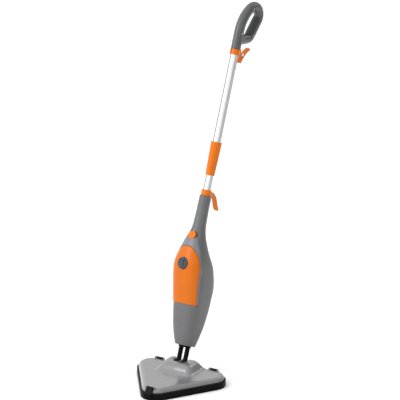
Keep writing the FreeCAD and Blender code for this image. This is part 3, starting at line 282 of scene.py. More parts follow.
class Paint:
    """A material and the nodes behind its surface."""

    def __init__(self, name, colour, roughness, **surface):
        self.material = bpy.data.materials.new(name)
        self.material.use_nodes = True
        self.material.diffuse_color = (*colour, 1.0)
        self.tree = self.material.node_tree
        self.shader = self.tree.nodes["Principled BSDF"]
        self.colour = tuple(colour)
        self.set("Base Color", (*colour, 1.0))
        self.set("Roughness", roughness)
        for socket, value in surface.items():
            self.set(socket.replace("_", " "), value)
        self.place = self.node("ShaderNodeTexCoord", {}, output="Object").socket

    def set(self, socket, value):
        target = self.shader.inputs[socket]
        if isinstance(value, Value):
            self.tree.links.new(value.socket, target)
        else:
            target.default_value = value

    def node(self, kind, settings, *inputs, output=0, **named):
        """Adds a node: its settings first, then its inputs in order or by name. Returns one output."""
        node = self.tree.nodes.new(kind)
        for name, value in settings.items():
            setattr(node, name, value)
        by_name = [(node.inputs[name], value) for name, value in named.items()]
        for target, value in list(zip(node.inputs, inputs)) + by_name:
            if value is None:
                continue
            if isinstance(value, Value):
                value = value.socket
            if isinstance(value, bpy.types.NodeSocket):
                self.tree.links.new(value, target)
            else:
                target.default_value = value
        return Value(self, node.outputs[output])

    def mapped(self, scale, turn=(0.0, 0.0, 0.0)):
        """Object coordinates, turned and stretched."""
        return self.node("ShaderNodeMapping", {"vector_type": "POINT"},
                         Vector=self.place, Rotation=turn, Scale=scale).socket

    def noise(self, scale, detail=2.0, roughness=0.5, place=None):
        return self.node("ShaderNodeTexNoise", {}, Vector=place or self.place, Scale=scale, Detail=detail,
                         Roughness=roughness)

    def mix(self, factor, first, second):
        """Two colours mixed by a value."""
        node = self.tree.nodes.new("ShaderNodeMix")
        node.data_type = "RGBA"
        self.tree.links.new(factor.socket, node.inputs["Factor"])
        for socket, value in ((node.inputs[6], first), (node.inputs[7], second)):
            if isinstance(value, Value):
                self.tree.links.new(value.socket, socket)
            else:
                socket.default_value = (*value, 1.0)
        return Value(self, node.outputs[2])

    def bump(self, height, depth, strength=1.0, under=None):
        inputs = {"Strength": strength, "Distance": depth, "Height": height}
        if under is not None:
            inputs["Normal"] = under
        return self.node("ShaderNodeBump", {}, **inputs)

    def tint(self, amount):
        """The base colour made lighter or darker by a share."""
        return tuple(min(1.0, channel * amount) for channel in self.colour)


def moulded(name, colour, roughness, grain=0.00004, **surface):
    """Moulded plastic: fine texture, slight unevenness of tone and gloss, faint rubbed patches."""
    paint = Paint(name, colour, roughness, **surface)
    cloud = paint.noise(14.0, 3.0)
    speck = paint.noise(900.0, 2.0)
    rubbed = paint.noise(55.0, 5.0, 0.65).above(0.60, 0.78)
    tone = paint.mix(cloud.above(0.3, 0.7), paint.tint(0.94), paint.tint(1.06))
    paint.set("Base Color", paint.mix(rubbed * 0.35, tone, paint.tint(1.16)))
    paint.set("Roughness", roughness + (cloud - 0.5) * 0.10 - rubbed * 0.06 + (speck - 0.5) * 0.05)
    paint.set("Normal", paint.bump(speck, grain, 0.6))
    return paint.material


def glossy(name, colour, roughness, **surface):
    """Polished moulding: soft surface waves, tiny scuffs and a little dust in the gloss."""
    paint = Paint(name, colour, roughness, **surface)
    wave = paint.noise(38.0, 1.0)
    scuff = paint.noise(1.0, 3.0, place=paint.mapped((900.0, 60.0, 300.0), (0.4, 0.2, 0.9)))
    dust = paint.noise(120.0, 4.0, 0.7).above(0.55, 0.8)
    cloud = paint.noise(9.0, 2.0)
    paint.set("Base Color", paint.mix(cloud.above(0.3, 0.7), paint.tint(0.96), paint.tint(1.04)))
    paint.set("Roughness", roughness + dust * 0.10 + scuff.above(0.62, 0.75) * 0.12)
    paint.set("Normal", paint.bump(wave, 0.00012, 0.35, paint.bump(scuff, 0.00001, 0.3)))
    return paint.material


def metal(name, colour, roughness, direction_scale, turn, edge_shade_tone=0.8, **surface):
    """Drawn or brushed metal: fine lines along the work, mild tone bands, small marks, and painted shade that
    darkens the colour towards edges seen at a glance.
    """
    paint = Paint(name, colour, roughness, Metallic=1.0, **surface)
    lines = paint.noise(1.0, 2.0, place=paint.mapped(direction_scale, turn))
    cloud = paint.noise(20.0, 3.0)
    marks = paint.noise(260.0, 4.0, 0.7).above(0.66, 0.78)
    tone = paint.mix(lines.above(0.3, 0.7), paint.tint(0.95), paint.tint(1.03))
    # Painted shade: the base colour is darkened by the last figure where the surface turns away from view.
    rim = paint.node("ShaderNodeLayerWeight", {}, Blend=0.5, output=1)
    paint.set("Base Color", paint.mix(rim.above(0.06, 0.50), tone, paint.tint(edge_shade_tone)))
    paint.set("Roughness", roughness + (lines - 0.5) * 0.10 + (cloud - 0.5) * 0.06 + marks * 0.10)
    paint.set("Normal", paint.bump(lines, 0.000004, 0.15))
    return paint.material


def pole_turn():
    """Turns Object coordinates so that their Z lies along the pole."""
    return BODY_TURN.transposed().to_euler()


def make_materials():
    colours = plastics()
    orange = colours.orange
    made = {
        "shell_grey": moulded("shell_grey", colours.shell, 0.42, Specular_IOR_Level=0.5),
        "bezel_grey": moulded("bezel_grey", colours.bezel, 0.34, 0.00002),
        "cover_grey": glossy("cover_grey", colours.cover, 0.24, Coat_Weight=0.8, Coat_Roughness=0.05,
                             Coat_IOR=1.6),
        "handle_grey": moulded("handle_grey", [channel * 0.72 for channel in colours.shell], 0.30, 0.00002),
        "orange": glossy("orange", orange, 0.36, Specular_IOR_Level=0.22, Coat_Weight=0.06,
                         Coat_Roughness=0.2),
        "tank_orange": glossy("tank_orange", (orange[0] * 0.90, orange[1] * 0.90, orange[2]), 0.30,
                              Specular_IOR_Level=0.20, Coat_Weight=0.10, Coat_Roughness=0.10),
        "dark_gloss": glossy("dark_gloss", (0.020, 0.030, 0.046), 0.18, Specular_IOR_Level=0.4,
                             Coat_Weight=0.3, Coat_Roughness=0.05),
        "black_plastic": moulded("black_plastic", colours.black, 0.38, Specular_IOR_Level=0.07),
        "grip_rubber": moulded("grip_rubber", (0.042, 0.042, 0.044), 0.62, 0.00008),
        "seal_rubber": moulded("seal_rubber", (0.006, 0.006, 0.006), 0.70, 0.00008),
        # The aluminium's last figure sets how strongly its painted shade darkens the colour towards its edges.
        "aluminium": metal("aluminium", (0.90, 0.905, 0.92), 0.30, (420.0, 420.0, 1.2), pole_turn(), 0.34),
        "steel": metal("steel", (0.58, 0.58, 0.60), 0.32, (300.0, 300.0, 300.0), (0.0, 0.0, 0.0)),
        "boiler_metal": metal("boiler_metal", (0.62, 0.62, 0.63), 0.48, (220.0, 220.0, 220.0),
                              (0.0, 0.0, 0.0)),
        "board_green": moulded("board_green", (0.02, 0.10, 0.04), 0.45),
        # Near-black for the strips of painted shade at the collars, and for the ring round the button.
        "seam_dark": moulded("seam_dark", (0.020, 0.020, 0.021), 0.55),
    }
    return made


MATERIALS = {}


def material(name):
    if not MATERIALS:
        MATERIALS.update(make_materials())
    return MATERIALS[name]


# ---------------------------------------------------------------- mesh helpers

def add_mesh(name, points, faces, slot_name, smooth_angle=35.0):
    mesh = bpy.data.meshes.new(name)
    mesh.from_pydata([tuple(point) for point in points], [], faces)
    return add_object(name, mesh, slot_name, smooth_angle)


def add_object(name, mesh, slot_name, smooth_angle=35.0):
    mesh.validate()
    work = bmesh.new()
    work.from_mesh(mesh)
    bmesh.ops.remove_doubles(work, verts=work.verts, dist=1e-6)
    bmesh.ops.recalc_face_normals(work, faces=work.faces)
    work.to_mesh(mesh)
    work.free()
    mesh.materials.clear()
    mesh.materials.append(material(slot_name))
    shade(mesh, smooth_angle)
    piece = bpy.data.objects.new(name, mesh)
    bpy.context.scene.collection.objects.link(piece)
    return piece


def shade(mesh, angle):
    mesh.shade_smooth()
    mesh.set_sharp_from_angle(angle=math.radians(angle))


def fit(piece, body, slot_name, *nodes):
    """Hands a finished piece over to its body and hides the plain nodes it stands for; the finish passed in is
    not used.
    """
    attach(piece, body)
    if nodes:
        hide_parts(*nodes)
    return piece


def refine(node, name, angle=32.0, finish=None):
    """A finished copy of an engineering node: corners merged and curved faces smoothed."""
    mesh = NODES[node].data.copy()
    mesh.name = name
    for layer in list(mesh.attributes):
        if layer.name in ("custom_normal", "UVMap"):
            mesh.attributes.remove(layer)
    piece = add_object(name, mesh, finish or SLOT_OF[node], angle)
    fit(piece, NODES[node]["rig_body"], SLOT_OF[node], node)
    return piece


def bridge(rows, count):
    """Faces between closed rows of `count` points each."""
    faces = []
    for row in range(rows - 1):
        for step in range(count):
            following = (step + 1) % count
            faces.append((row * count + step, row * count + following,
                          (row + 1) * count + following, (row + 1) * count + step))
    return faces


def fan(rows, count):
    """Faces from the last closed row to one point after it."""
    start = (rows - 1) * count
    return [(start + step, start + (step + 1) % count, rows * count) for step in range(count)]


def lathe(name, profile, origin, axis, slot_name, count=64, angle=35.0, shape=None):
    """A turned piece from (radius, height) points about an axis; `shape` may change a radius by angle."""
    axis = Vector(axis).normalized()
    side = axis.orthogonal().normalized()
    other = axis.cross(side)
    points = []
    for radius, height in profile:
        for step in range(count):
            turn = 2 * math.pi * step / count
            reach = radius if shape is None else shape(radius, height, turn)
            spoke = side * math.cos(turn) + other * math.sin(turn)
            points.append(Vector(origin) + (spoke * reach + axis * height) * MM)
    rows = len(profile)
    faces = bridge(rows, count)
    if profile[0] != profile[-1]:
        faces.append(tuple(reversed(range(count))))
        faces.append(tuple((rows - 1) * count + step for step in range(count)))
    else:
        points = points[:-count]
        faces = [tuple(index % ((rows - 1) * count) for index in face) for face in faces]
    return add_mesh(name, points, faces, slot_name, angle)


def carve(piece, *cutters):
    """Cuts closed shapes out of a piece and keeps the plain result."""
    for cutter in cutters:
        tool = piece.modifiers.new("cut", "BOOLEAN")
        tool.operation = "DIFFERENCE"
        tool.solver = "EXACT"
        tool.object = cutter
    bake_modifiers(piece)
    for cutter in cutters:
        bpy.data.objects.remove(cutter)
    return piece


def bake_modifiers(piece, angle=35.0):
    view = bpy.context.evaluated_depsgraph_get()
    view.update()
    mesh = bpy.data.meshes.new_from_object(piece.evaluated_get(view))
    piece.modifiers.clear()
    piece.data = mesh
    shade(mesh, angle)
    return piece


def plain_box(low, high):
    """A closed box, in metres, used to cut with."""
    corners = [Vector((x, y, z)) for x in (low[0], high[0]) for y in (low[1], high[1])
               for z in (low[2], high[2])]
    faces = [(0, 1, 3, 2), (4, 6, 7, 5), (0, 4, 5, 1), (2, 3, 7, 6), (0, 2, 6, 4), (1, 5, 7, 3)]
    return add_mesh("cutter", corners, faces, "seam_dark")


# ---------------------------------------------------------------- repeats by geometry nodes

def repeat_tree(name, slot_name):
    """A node tree that sets a given shape on every point of the mesh it is put on, turned by the point's 'turn'
    attribute.
    """
    tree = bpy.data.node_groups.new(name, "GeometryNodeTree")
    face = tree.interface
    face.new_socket("Points", in_out="INPUT", socket_type="NodeSocketGeometry")
    face.new_socket("Shape", in_out="INPUT", socket_type="NodeSocketObject")
    face.new_socket("Scale", in_out="INPUT", socket_type="NodeSocketFloat")
    face.new_socket("Result", in_out="OUTPUT", socket_type="NodeSocketGeometry")
    nodes, links = tree.nodes, tree.links
    entry, result = nodes.new("NodeGroupInput"), nodes.new("NodeGroupOutput")
    shape = nodes.new("GeometryNodeObjectInfo")
    turn_x = nodes.new("GeometryNodeInputNamedAttribute")
    turn_x.data_type = "FLOAT_VECTOR"
    turn_x.inputs["Name"].default_value = "turn"
    instance = nodes.new("GeometryNodeInstanceOnPoints")
    realize = nodes.new("GeometryNodeRealizeInstances")
    finish = nodes.new("GeometryNodeSetMaterial")
    finish.inputs["Material"].default_value = material(slot_name)
    links.new(entry.outputs["Points"], instance.inputs["Points"])
    links.new(entry.outputs["Shape"], shape.inputs["Object"])
    links.new(shape.outputs["Geometry"], instance.inputs["Instance"])
    links.new(turn_x.outputs["Attribute"], instance.inputs["Rotation"])
    links.new(entry.outputs["Scale"], instance.inputs["Scale"])
    links.new(instance.outputs["Instances"], realize.inputs["Geometry"])
    links.new(realize.outputs["Geometry"], finish.inputs["Geometry"])
    links.new(finish.outputs["Geometry"], result.inputs["Result"])
    return tree


def repeat(name, places, master, slot_name, angle=35.0):
    """Sets a master shape at each (point, direction, roll) and keeps one plain mesh."""
    mesh = bpy.data.meshes.new(name)
    mesh.from_pydata([tuple(point) for point, _, _ in places], [], [])
    turns = mesh.attributes.new("turn", "FLOAT_VECTOR", "POINT")
    for index, (_, direction, roll) in enumerate(places):
        turn = Vector(direction).to_track_quat("Z", "Y") @ Matrix.Rotation(roll, 3, "Z").to_quaternion()
        turns.data[index].vector = turn.to_euler()
    piece = bpy.data.objects.new(name, mesh)
    bpy.context.scene.collection.objects.link(piece)
    tree = repeat_tree(name + "_tree", slot_name)
    tool = piece.modifiers.new("repeat", "NODES")
    tool.node_group = tree
    sockets = {item.name: item.identifier for item in tree.interface.items_tree if item.in_out == "INPUT"}
    tool[sockets["Shape"]] = master
    tool[sockets["Scale"]] = 1.0
    bake_modifiers(piece, angle)
    bpy.data.objects.remove(master)
    return piece


def screw_master():
    """A pan-head screw with a cross recess, its head's face along +Z and its underside at the origin."""
    profile = [(1.5, -4.0), (1.5, 0.0), (3.7, 0.0), (3.75, 0.9), (3.4, 1.7), (2.6, 2.2), (0.9, 2.4)]
    head = lathe("screw_master", profile, (0, 0, 0), (0, 0, 1), "steel", 28)
    long_bar = plain_box((-0.0024, -0.00045, 0.0011), (0.0024, 0.00045, 0.004))
    cross_bar = plain_box((-0.00045, -0.0024, 0.0011), (0.00045, 0.0024, 0.004))
    return carve(head, long_bar, cross_bar)


# ---------------------------------------------------------------- outlines on the housing's front

def tank_outline(count=44):
    """The tank's outline as (across, up) points from the middle of its foot, anticlockwise from in front."""
    corner = 4.0
    right = [(share * (TANK_FOOT - corner), TANK_BOTTOM) for share in np.linspace(0, 1, FOOT_POINTS - 6)]
    for angle in np.linspace(-90, -3, 7)[1:]:
        turn = math.radians(angle)
        across, up = corner * math.cos(turn), corner * math.sin(turn)
        right.append((TANK_FOOT - corner + across, TANK_BOTTOM + corner + up))
    for share in np.linspace(0, 1, count // 2)[1:]:
        up = TANK_BOTTOM + corner + share * (TANK_SHOULDER - TANK_BOTTOM - corner)
        right.append((TANK_FOOT + (TANK_SIDE - TANK_FOOT) * share, up))
    for angle in np.linspace(0, 90, count)[1:]:
        turn = math.radians(angle)
        right.append((TANK_SIDE * math.cos(turn), TANK_SHOULDER + TANK_ARCH * math.sin(turn)))
    left = [(-x, up) for x, up in reversed(right[1:-1])]
    return right + left


def bezel_outline(count=44):
    """The bezel's outline with the same number of points as the tank's."""
    side = TANK_SIDE + BEZEL_RIM
    foot = TANK_FOOT + BEZEL_RIM
    right = [(share * foot * 0.93, TANK_BOTTOM - 0.01) for share in np.linspace(0, 1, FOOT_POINTS - 6)]
    for share in np.linspace(0, 1, 7)[1:]:
        right.append((foot * (0.93 + 0.07 * share), TANK_BOTTOM + 4.0 * share ** 2))
    for share in np.linspace(0, 1, count // 2)[1:]:
        up = TANK_BOTTOM + 4.0 + share * (TANK_SHOULDER - TANK_BOTTOM - 4.0)
        right.append((foot + (side - foot) * share, up))
    across, up, radius = circle_through((side, 0.0), (side * BEZEL_FLANK, BEZEL_RISE / 2), (0.0, BEZEL_RISE))
    first = math.atan2(-up, side - across)
    last = math.atan2(BEZEL_RISE - up, -across)
    for turn in np.linspace(first, last, count)[1:]:
        right.append((max(across + radius * math.cos(turn), 0.0),
                      TANK_SHOULDER + up + radius * math.sin(turn)))
    left = [(-x, up) for x, up in reversed(right[1:-1])]
    return right + left


def circle_through(first, second, third):
    """Centre and radius of the circle through three points."""
    (ax, ay), (bx, by), (cx, cy) = first, second, third
    twice = 2 * (ax * (by - cy) + bx * (cy - ay) + cx * (ay - by))
    squares = [x * x + y * y for x, y in (first, second, third)]
    across = (squares[0] * (by - cy) + squares[1] * (cy - ay) + squares[2] * (ay - by)) / twice
    up = (squares[0] * (cx - bx) + squares[1] * (ax - cx) + squares[2] * (bx - ax)) / twice
    return across, up, math.hypot(ax - across, ay - up)


def edge_drop(distance, rounding):
    """How far a rounded edge has fallen below the face, `distance` in from its border."""
    if distance >= rounding:
        return 0.0
    return rounding * (1 - math.sqrt(max(0.0, 1 - (1 - distance / rounding) ** 2)))


# ---------------------------------------------------------------- operators

class MOP_OT_housing(bpy.types.Operator):
    """Builds the two shells and the cord gland"""
    bl_idname = "mop.housing"
    bl_label = "Housing"

    def execute(self, context):
        refine("front_shell", "housing_front", 40.0)
        refine("rear_shell", "housing_rear", 40.0)
        refine("cord_gland", "cord_gland_ring")
        return {"FINISHED"}


class MOP_OT_bezel(bpy.types.Operator):
    """Builds the pointed plate round the tank and the button, with rounded edges"""
    bl_idname = "mop.bezel"
    bl_label = "Bezel"

    def execute(self, context):
        outer, inner = bezel_outline(), tank_outline()
        foot = FOOT_POINTS - 1
        outer, inner = outer[foot:len(outer) - foot + 1], inner[foot:len(inner) - foot + 1]
        gap = 0.5
        rounding = details().seam_width / MM
        steps = [0.0, 0.25, 0.6, 1.1, 1.8]
        points, faces, rows = [], [], 0
        count = len(outer)
        shares = [0.12, 0.25, 0.4, 0.55, 0.7, 0.82, 0.9]
        for kind in ("outer_wall", *steps, *shares, *[-step for step in reversed(steps)], "inner_wall"):
            for (ox, oz), (ix, iz) in zip(outer, inner):
                across, up = ix - ox, iz - oz
                length = max(math.hypot(across, up) - gap, 0.05)
                reach = math.hypot(across, up)
                unit = (across / reach, up / reach) if length > 0.05 else (0, 0)
                rim = min(rounding, length * 0.45)
                if kind == "outer_wall":
                    along, rise = 0.0, -2.4
                elif kind == "inner_wall":
                    along, rise = length, -2.4
                elif kind in shares:
                    along, rise = rim + (length - 2 * rim) * kind, 0.6
                elif kind in steps and not (kind == 0.0 and math.copysign(1, kind) < 0):
                    along = kind / steps[-1] * rim
                    rise = 0.6 - edge_drop(along, rim)
                else:
                    inset = -kind / steps[-1] * rim
                    along, rise = length - inset, 0.6 - edge_drop(inset, rim)
                points.append(front_skin(ox + unit[0] * along, oz + unit[1] * along, rise))
            rows += 1
        for row in range(rows):
            above = (row + 1) % rows
            for step in range(count - 1):
                faces.append((row * count + step, row * count + step + 1,
                              above * count + step + 1, above * count + step))
        faces.append(tuple(row * count for row in range(rows)))
        faces.append(tuple(row * count + count - 1 for row in reversed(range(rows))))
        plate = add_mesh("bezel_plate", points, faces, "bezel_grey", 50.0)
        axis = -Vector(JOINTS["button_press"]["axis"]).normalized()
        low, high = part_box("release_button")
        centre = (low + high) / 2
        clear = BUTTON_RADIUS + 0.4
        hole = lathe("cutter", [(clear, -30.0), (clear, 40.0)], centre, axis, "seam_dark", 72)
        carve(plate, hole)
        shade(plate.data, 50.0)
        fit(plate, "housing", "bezel_grey", "bezel")
        bore = BUTTON_RADIUS + 0.25
        profile = [(bore, -7.0), (bore, 1.0), (14.9, 2.2), (15.8, 2.4), (16.3, 1.7), (16.3, -7.0),
                   (bore, -7.0)]
        ring = lathe("button_ring", profile, centre, axis, "seam_dark", 72)
        fit(ring, "housing", "black_plastic")
        return {"FINISHED"}


class MOP_OT_tank(bpy.types.Operator):
    """Builds the water tank: a crowned front with rounded edges, straight sides and a cap recess"""
    bl_idname = "mop.tank"
    bl_label = "Water tank"

    def execute(self, context):
        outline = tank_outline()
        count = len(outline)
        centre = TANK_CENTRE
        rounding = details().seam_width / MM * 1.2
        insets = [0.0, 0.2, 0.5, 1.0, 1.6, 2.2, 3.2, 5.0]
        shares = [0.88, 0.8, 0.72, 0.64, 0.56, 0.48, 0.4, 0.32, 0.24, 0.16, 0.08]
        points = [in_body(x, TANK_BACK, up) for x, up in outline]
        for inset, share in [(inset, 1.0) for inset in insets] + [(insets[-1], share) for share in shares]:
            for x, up in outline:
                across, rise = centre[0] - x, centre[1] - up
                length = math.hypot(across, rise)
                px, pz = x + across / length * inset, up + rise / length * inset
                px, pz = centre[0] + (px - centre[0]) * share, centre[1] + (pz - centre[1]) * share
                points.append(front_skin(px, pz, 1.2 - edge_drop(inset, rounding)))
        rows = 1 + len(insets) + len(shares)
        points.append(front_skin(*centre, 1.2))
        faces = bridge(rows, count) + fan(rows, count) + [tuple(range(count))]
        tank = add_mesh("water_tank", points, faces, "tank_orange", 50.0)
        cap_axis = Vector(JOINTS["cap_turn"]["axis"]).normalized()
        cap_foot = Vector(JOINTS["cap_turn"]["pos_m"])
        clear = CAP_RADIUS + 0.4
        recess = lathe("cutter", [(clear, -0.4), (clear, 40.0)], cap_foot, cap_axis, "seam_dark", 72)
        carve(tank, recess)
        shade(tank.data, 50.0)
        fit(tank, "tank", "tank_orange", "tank_shell", "tank_back_wall")
        return {"FINISHED"}


class MOP_OT_filler_cap(bpy.types.Operator):
    """Builds the round filler cap: a dished face with a raised grip bar and fine teeth round its edge"""
    bl_idname = "mop.filler_cap"
    bl_label = "Filler cap"

    def execute(self, context):
        axis = Vector(JOINTS["cap_turn"]["axis"]).normalized()
        foot = Vector(JOINTS["cap_turn"]["pos_m"])
        up = POLE_UP
        right = up.cross(axis).normalized()
        radii = [0.0, 2.0, 4.0, 6.0, 8.0, 10.0, 12.0, 14.0, 15.5, 16.6, 17.4, 18.1, 18.6, 18.9, CAP_RADIUS]
        count = 120
        points = []
        for radius in radii:
            for step in range(count):
                turn = 2 * math.pi * step / count
                x, z = radius * math.cos(turn), radius * math.sin(turn)
                points.append(foot + (right * x + up * z + axis * self.height(x, z, radius)) * MM)
        for height in (5.5, 0.0):
            for step in range(count):
                turn = 2 * math.pi * step / count
                tooth = 0.25 * max(0.0, math.sin(turn * details().cap_teeth))
                x, z = (CAP_RADIUS - tooth) * math.cos(turn), (CAP_RADIUS - tooth) * math.sin(turn)
                points.append(foot + (right * x + up * z + axis * height) * MM)
        rows = len(radii) + 2
        faces = [(first, fourth, third, second) for first, second, third, fourth in bridge(rows, count)]
        faces.append(tuple((rows - 1) * count + step for step in range(count)))
        cap = add_mesh("filler_cap_face", points, faces, "dark_gloss", 60.0)
        fit(cap, "filler_cap", "dark_gloss", "filler_cap")
        return {"FINISHED"}

    @staticmethod
    def height(x, z, radius):
        """The face's height above the cap's seat: a shallow dish, a bar across it and a rounded edge."""
        face = 6.4 - 0.9 * (1 - (radius / CAP_RADIUS) ** 2)
        bar = max(0.0, 1 - (abs(x) / 4.2) ** 3) * max(0.0, 1 - (abs(z) / 17.5) ** 6)
        edge = edge_drop(CAP_RADIUS - radius, 2.2) * 0.8
        return face + 2.9 * min(1.0, bar * 1.5) - edge


class MOP_OT_button(bpy.types.Operator):
    """Builds the round tank release button, slightly dished"""
    bl_idname = "mop.button"
    bl_label = "Release button"

    def execute(self, context):
        axis = -Vector(JOINTS["button_press"]["axis"]).normalized()
        low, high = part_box("release_button")
        centre = (low + high) / 2
        profile = [(13.9, -6.0), (13.95, 1.5), (13.8, 3.2), (13.2, 4.6), (12.2, 5.5), (10.8, 5.9),
                   (8.5, 5.75), (5.5, 5.45), (2.5, 5.25), (0.4, 5.2)]
        button = lathe("release_button_face", profile, centre, axis, "orange", 72, 50.0)
        fit(button, "release_button", "orange", "release_button")
        return {"FINISHED"}


class MOP_OT_pole(bpy.types.Operator):
    """Builds the two tubes, the collars with their hooks, and dark pieces of painted shade: lines at the collars'
    edges and a strip in the upper collar's slit
    """
    bl_idname = "mop.pole"
    bl_label = "Pole and hooks"

    def execute(self, context):
        for node in ("lower_tube", "upper_tube"):
            refine(node, node + "_drawn", 40.0)
        refine("lower_collar", "lower_collar_and_hook", 40.0)
        refine("upper_collar", "upper_collar_band", 40.0)
        refine("upper_cord_hook", "upper_hook_blade", 40.0)
        height = 0.9
        # The dark rings at the collars' edges and the dark strip in the upper collar's slit are painted shade.
        for seam in (self.band("lower_collar_seam", NECK_TOP, height),
                     self.band("upper_collar_seam", HANDLE_FOOT - height, height), self.slit()):
            fit(seam, "housing", "black_plastic")
        return {"FINISHED"}

    @staticmethod
    def band(name, bottom, height):
        """A thin dark line round a collar's edge, painted shade in the joint with the next part."""
        outer, inner = COLLAR_RADIUS + 0.15, COLLAR_RADIUS - 1.85
        profile = [(inner, 0.0), (outer, 0.0), (outer, height), (inner, height), (inner, 0.0)]
        return lathe(name, profile, in_body(0, -POLE_OFFSET, bottom), POLE_UP, "seam_dark", 64)

    @staticmethod
    def slit():
        """A dark strip of painted shade where the slit lets the upper collar clamp the tube, a little left of its
        front.
        """
        points, faces = [], []
        bottom, top = UPPER_COLLAR_FOOT + 1.5, HANDLE_FOOT - 1.5
        for height in (bottom, top):
            for angle in np.linspace(-112, -100, 5):
                turn = math.radians(angle)
                for radius in (COLLAR_RADIUS - 0.8, COLLAR_RADIUS + 0.12):
                    x, y = radius * math.cos(turn), radius * math.sin(turn)
                    points.append(in_body(x, y - POLE_OFFSET, height))
        for step in range(4):
            near, far = 2 * step, 2 * step + 2
            faces.append((near + 1, far + 1, far + 11, near + 11))
            faces.append((near, near + 10, far + 10, far))
            faces.append((near, far, far + 1, near + 1))
            faces.append((near + 10, near + 11, far + 11, far + 10))
        faces.append((0, 1, 11, 10))
        faces.append((8, 18, 19, 9))
        return add_mesh("upper_collar_slit", points, faces, "seam_dark")


class MOP_OT_sleeve(bpy.types.Operator):
    """Builds the fluted twist sleeve with its rounded ends"""
    bl_idname = "mop.sleeve"
    bl_label = "Coupling sleeve"

    def execute(self, context):
        foot = Vector(JOINTS["sleeve_twist"]["pos_m"])
        settings = details()
        depth = settings.flute_depth / MM
        flutes = settings.flute_count
        length = SLEEVE_LENGTH

        def outer(height):
            return SLEEVE_FOOT_RADIUS + SLEEVE_FLARE * height / length

        def fluted(radius, height, turn):
            if radius < 13.6 and not 0.0 <= height <= 2.0:
                return radius
            if abs(radius - outer(height)) > 1.4:
                return radius
            fade_in = min(1.0, max(0.0, (height - 4.0) / 10.0))
            fade = fade_in * min(1.0, max(0.0, (length - 9.0 - height) / 8.0))
            dip = (0.5 - 0.5 * math.cos(turn * flutes)) ** 0.6
            return radius - depth * fade * dip

        profile = [(TUBE_LIP_BORE, 0.0), (13.4, 0.0), (14.1, 0.5), (SLEEVE_FOOT_RADIUS, 1.6)]
        profile += [(outer(height), height) for height in np.linspace(3.0, length - 3.0, 40)]
        profile += [(17.4, length - 1.4), (16.8, length - 0.4), (15.8, length), (TUBE_BORE, length)]
        profile += [(TUBE_BORE, 12.0), (TUBE_LIP_BORE, 12.0), (TUBE_LIP_BORE, 0.0)]
        sleeve = lathe("twist_sleeve", profile, foot, POLE_UP, "orange", 168, 40.0, fluted)
        fit(sleeve, "coupling_sleeve", "orange", "coupling_sleeve")
        return {"FINISHED"}


class MOP_OT_handle(bpy.types.Operator):
    """Builds the loop handle's halves, the ribbed inside of its grip """
    bl_idname = "mop.handle"
    bl_label = "Handle"

    def execute(self, context):
        refine("handle_left", "handle_left_half", 40.0, "handle_grey")
        refine("handle_right", "handle_right_half", 40.0, "handle_grey")
        refine("grip_pad", "grip_pad_strip", 40.0)
        fit(self.ribs(), "housing", "grip_rubber")
        return {"FINISHED"}

    @staticmethod
    def ribs():
        """Short raised ribs across the inside of the rear grip."""
        start, end = GRIP_LINE
        along = (end - start).normalized()
        points, faces = [], []
        segments = 14
        for step in range(segments + 1):
            turn = math.radians(-62 + 124 * step / segments)
            for radius, shift in ((16.6, -1.1), (17.5, -0.75), (17.75, 0.0), (17.5, 0.75), (16.6, 1.1)):
                points.append(Vector((radius * math.sin(turn), shift, radius * math.cos(turn))) * MM)
        for step in range(segments):
            for side in range(4):
                first = step * 5 + side
                faces.append((first, first + 1, first + 6, first + 5))
            faces.append((step * 5 + 4, step * 5, step * 5 + 5, step * 5 + 9))
        faces.append((0, 4, 3, 2, 1))
        faces.append(tuple(segments * 5 + side for side in (0, 1, 2, 3, 4)))
        master = add_mesh("rib_master", points, faces, "grip_rubber")
        places = []
        count = details().grip_ribs
        inward = BODY_TURN @ Vector((0.0, along.y, -along.x))
        for index in range(count):
            spot = start.lerp(end, (index + 0.5) / count)
            centre = in_body(0.0, spot.x - POLE_OFFSET, HANDLE_FOOT + spot.y)
            places.append((centre, inward, 0.0))
        return repeat("grip_ribs", places, master, "grip_rubber")


class MOP_OT_screws(bpy.types.Operator):
    """Sets the screws of the handle, the housing and the head, with cross recesses"""
    bl_idname = "mop.screws"
    bl_label = "Screws"

    def execute(self, context):
        for node, direction, body in (("handle_screws", BODY_RIGHT, "housing"),
                                      ("housing_screws", BODY_BACK, "housing"),
                                      ("head_screws", Vector((0, 0, -1)), "head")):
            places = []
            for number, (centre, high) in enumerate(self.solids(node, direction)):
                places.append((centre + direction * (high - 2.45 * MM), direction, 0.5 * number))
            screws = repeat(node + "_set", places, screw_master(), "steel")
            fit(screws, body, "steel", node)
        return {"FINISHED"}

    @staticmethod
    def solids(node, direction):
        """The axis point and the far end of each separate screw in a node."""
        work = bmesh.new()
        work.from_mesh(NODES[node].data)
        bmesh.ops.remove_doubles(work, verts=work.verts, dist=1e-6)
        seen, found = set(), []
        for vertex in work.verts:
            if vertex in seen:
                continue
            group, stack = [], [vertex]
            seen.add(vertex)
            while stack:
                current = stack.pop()
                group.append(current.co.copy())
                for edge in current.link_edges:
                    other = edge.other_vert(current)
                    if other not in seen:
                        seen.add(other)
                        stack.append(other)
            flat = [point - direction * point.dot(direction) for point in group]
            low = Vector([min(point[axis] for point in flat) for axis in range(3)])
            high = Vector([max(point[axis] for point in flat) for axis in range(3)])
            centre = (low + high) / 2
            centre -= direction * centre.dot(direction)
            found.append((centre, max(point.dot(direction) for point in group)))
        work.free()
        return found


class MOP_OT_neck(bpy.types.Operator):
    """Builds the black fork and the hinge pin's end"""
    bl_idname = "mop.neck"
    bl_label = "Neck"

    def execute(self, context):
        refine("neck_fork", "neck_fork_arms", 40.0)
        profile = [(0.6, -1.0), (6.2, -1.0), (6.8, -0.4), (7.0, 0.6), (7.0, 6.0), (6.6, 7.2),
                   (5.6, 7.8), (0.6, 8.0)]
        knuckle = lathe("pin_knuckle", profile, (-0.0206, 0.0, PIVOT.z), (-1, 0, 0), "black_plastic", 40)
        fit(knuckle, "head", "black_plastic")
        return {"FINISHED"}


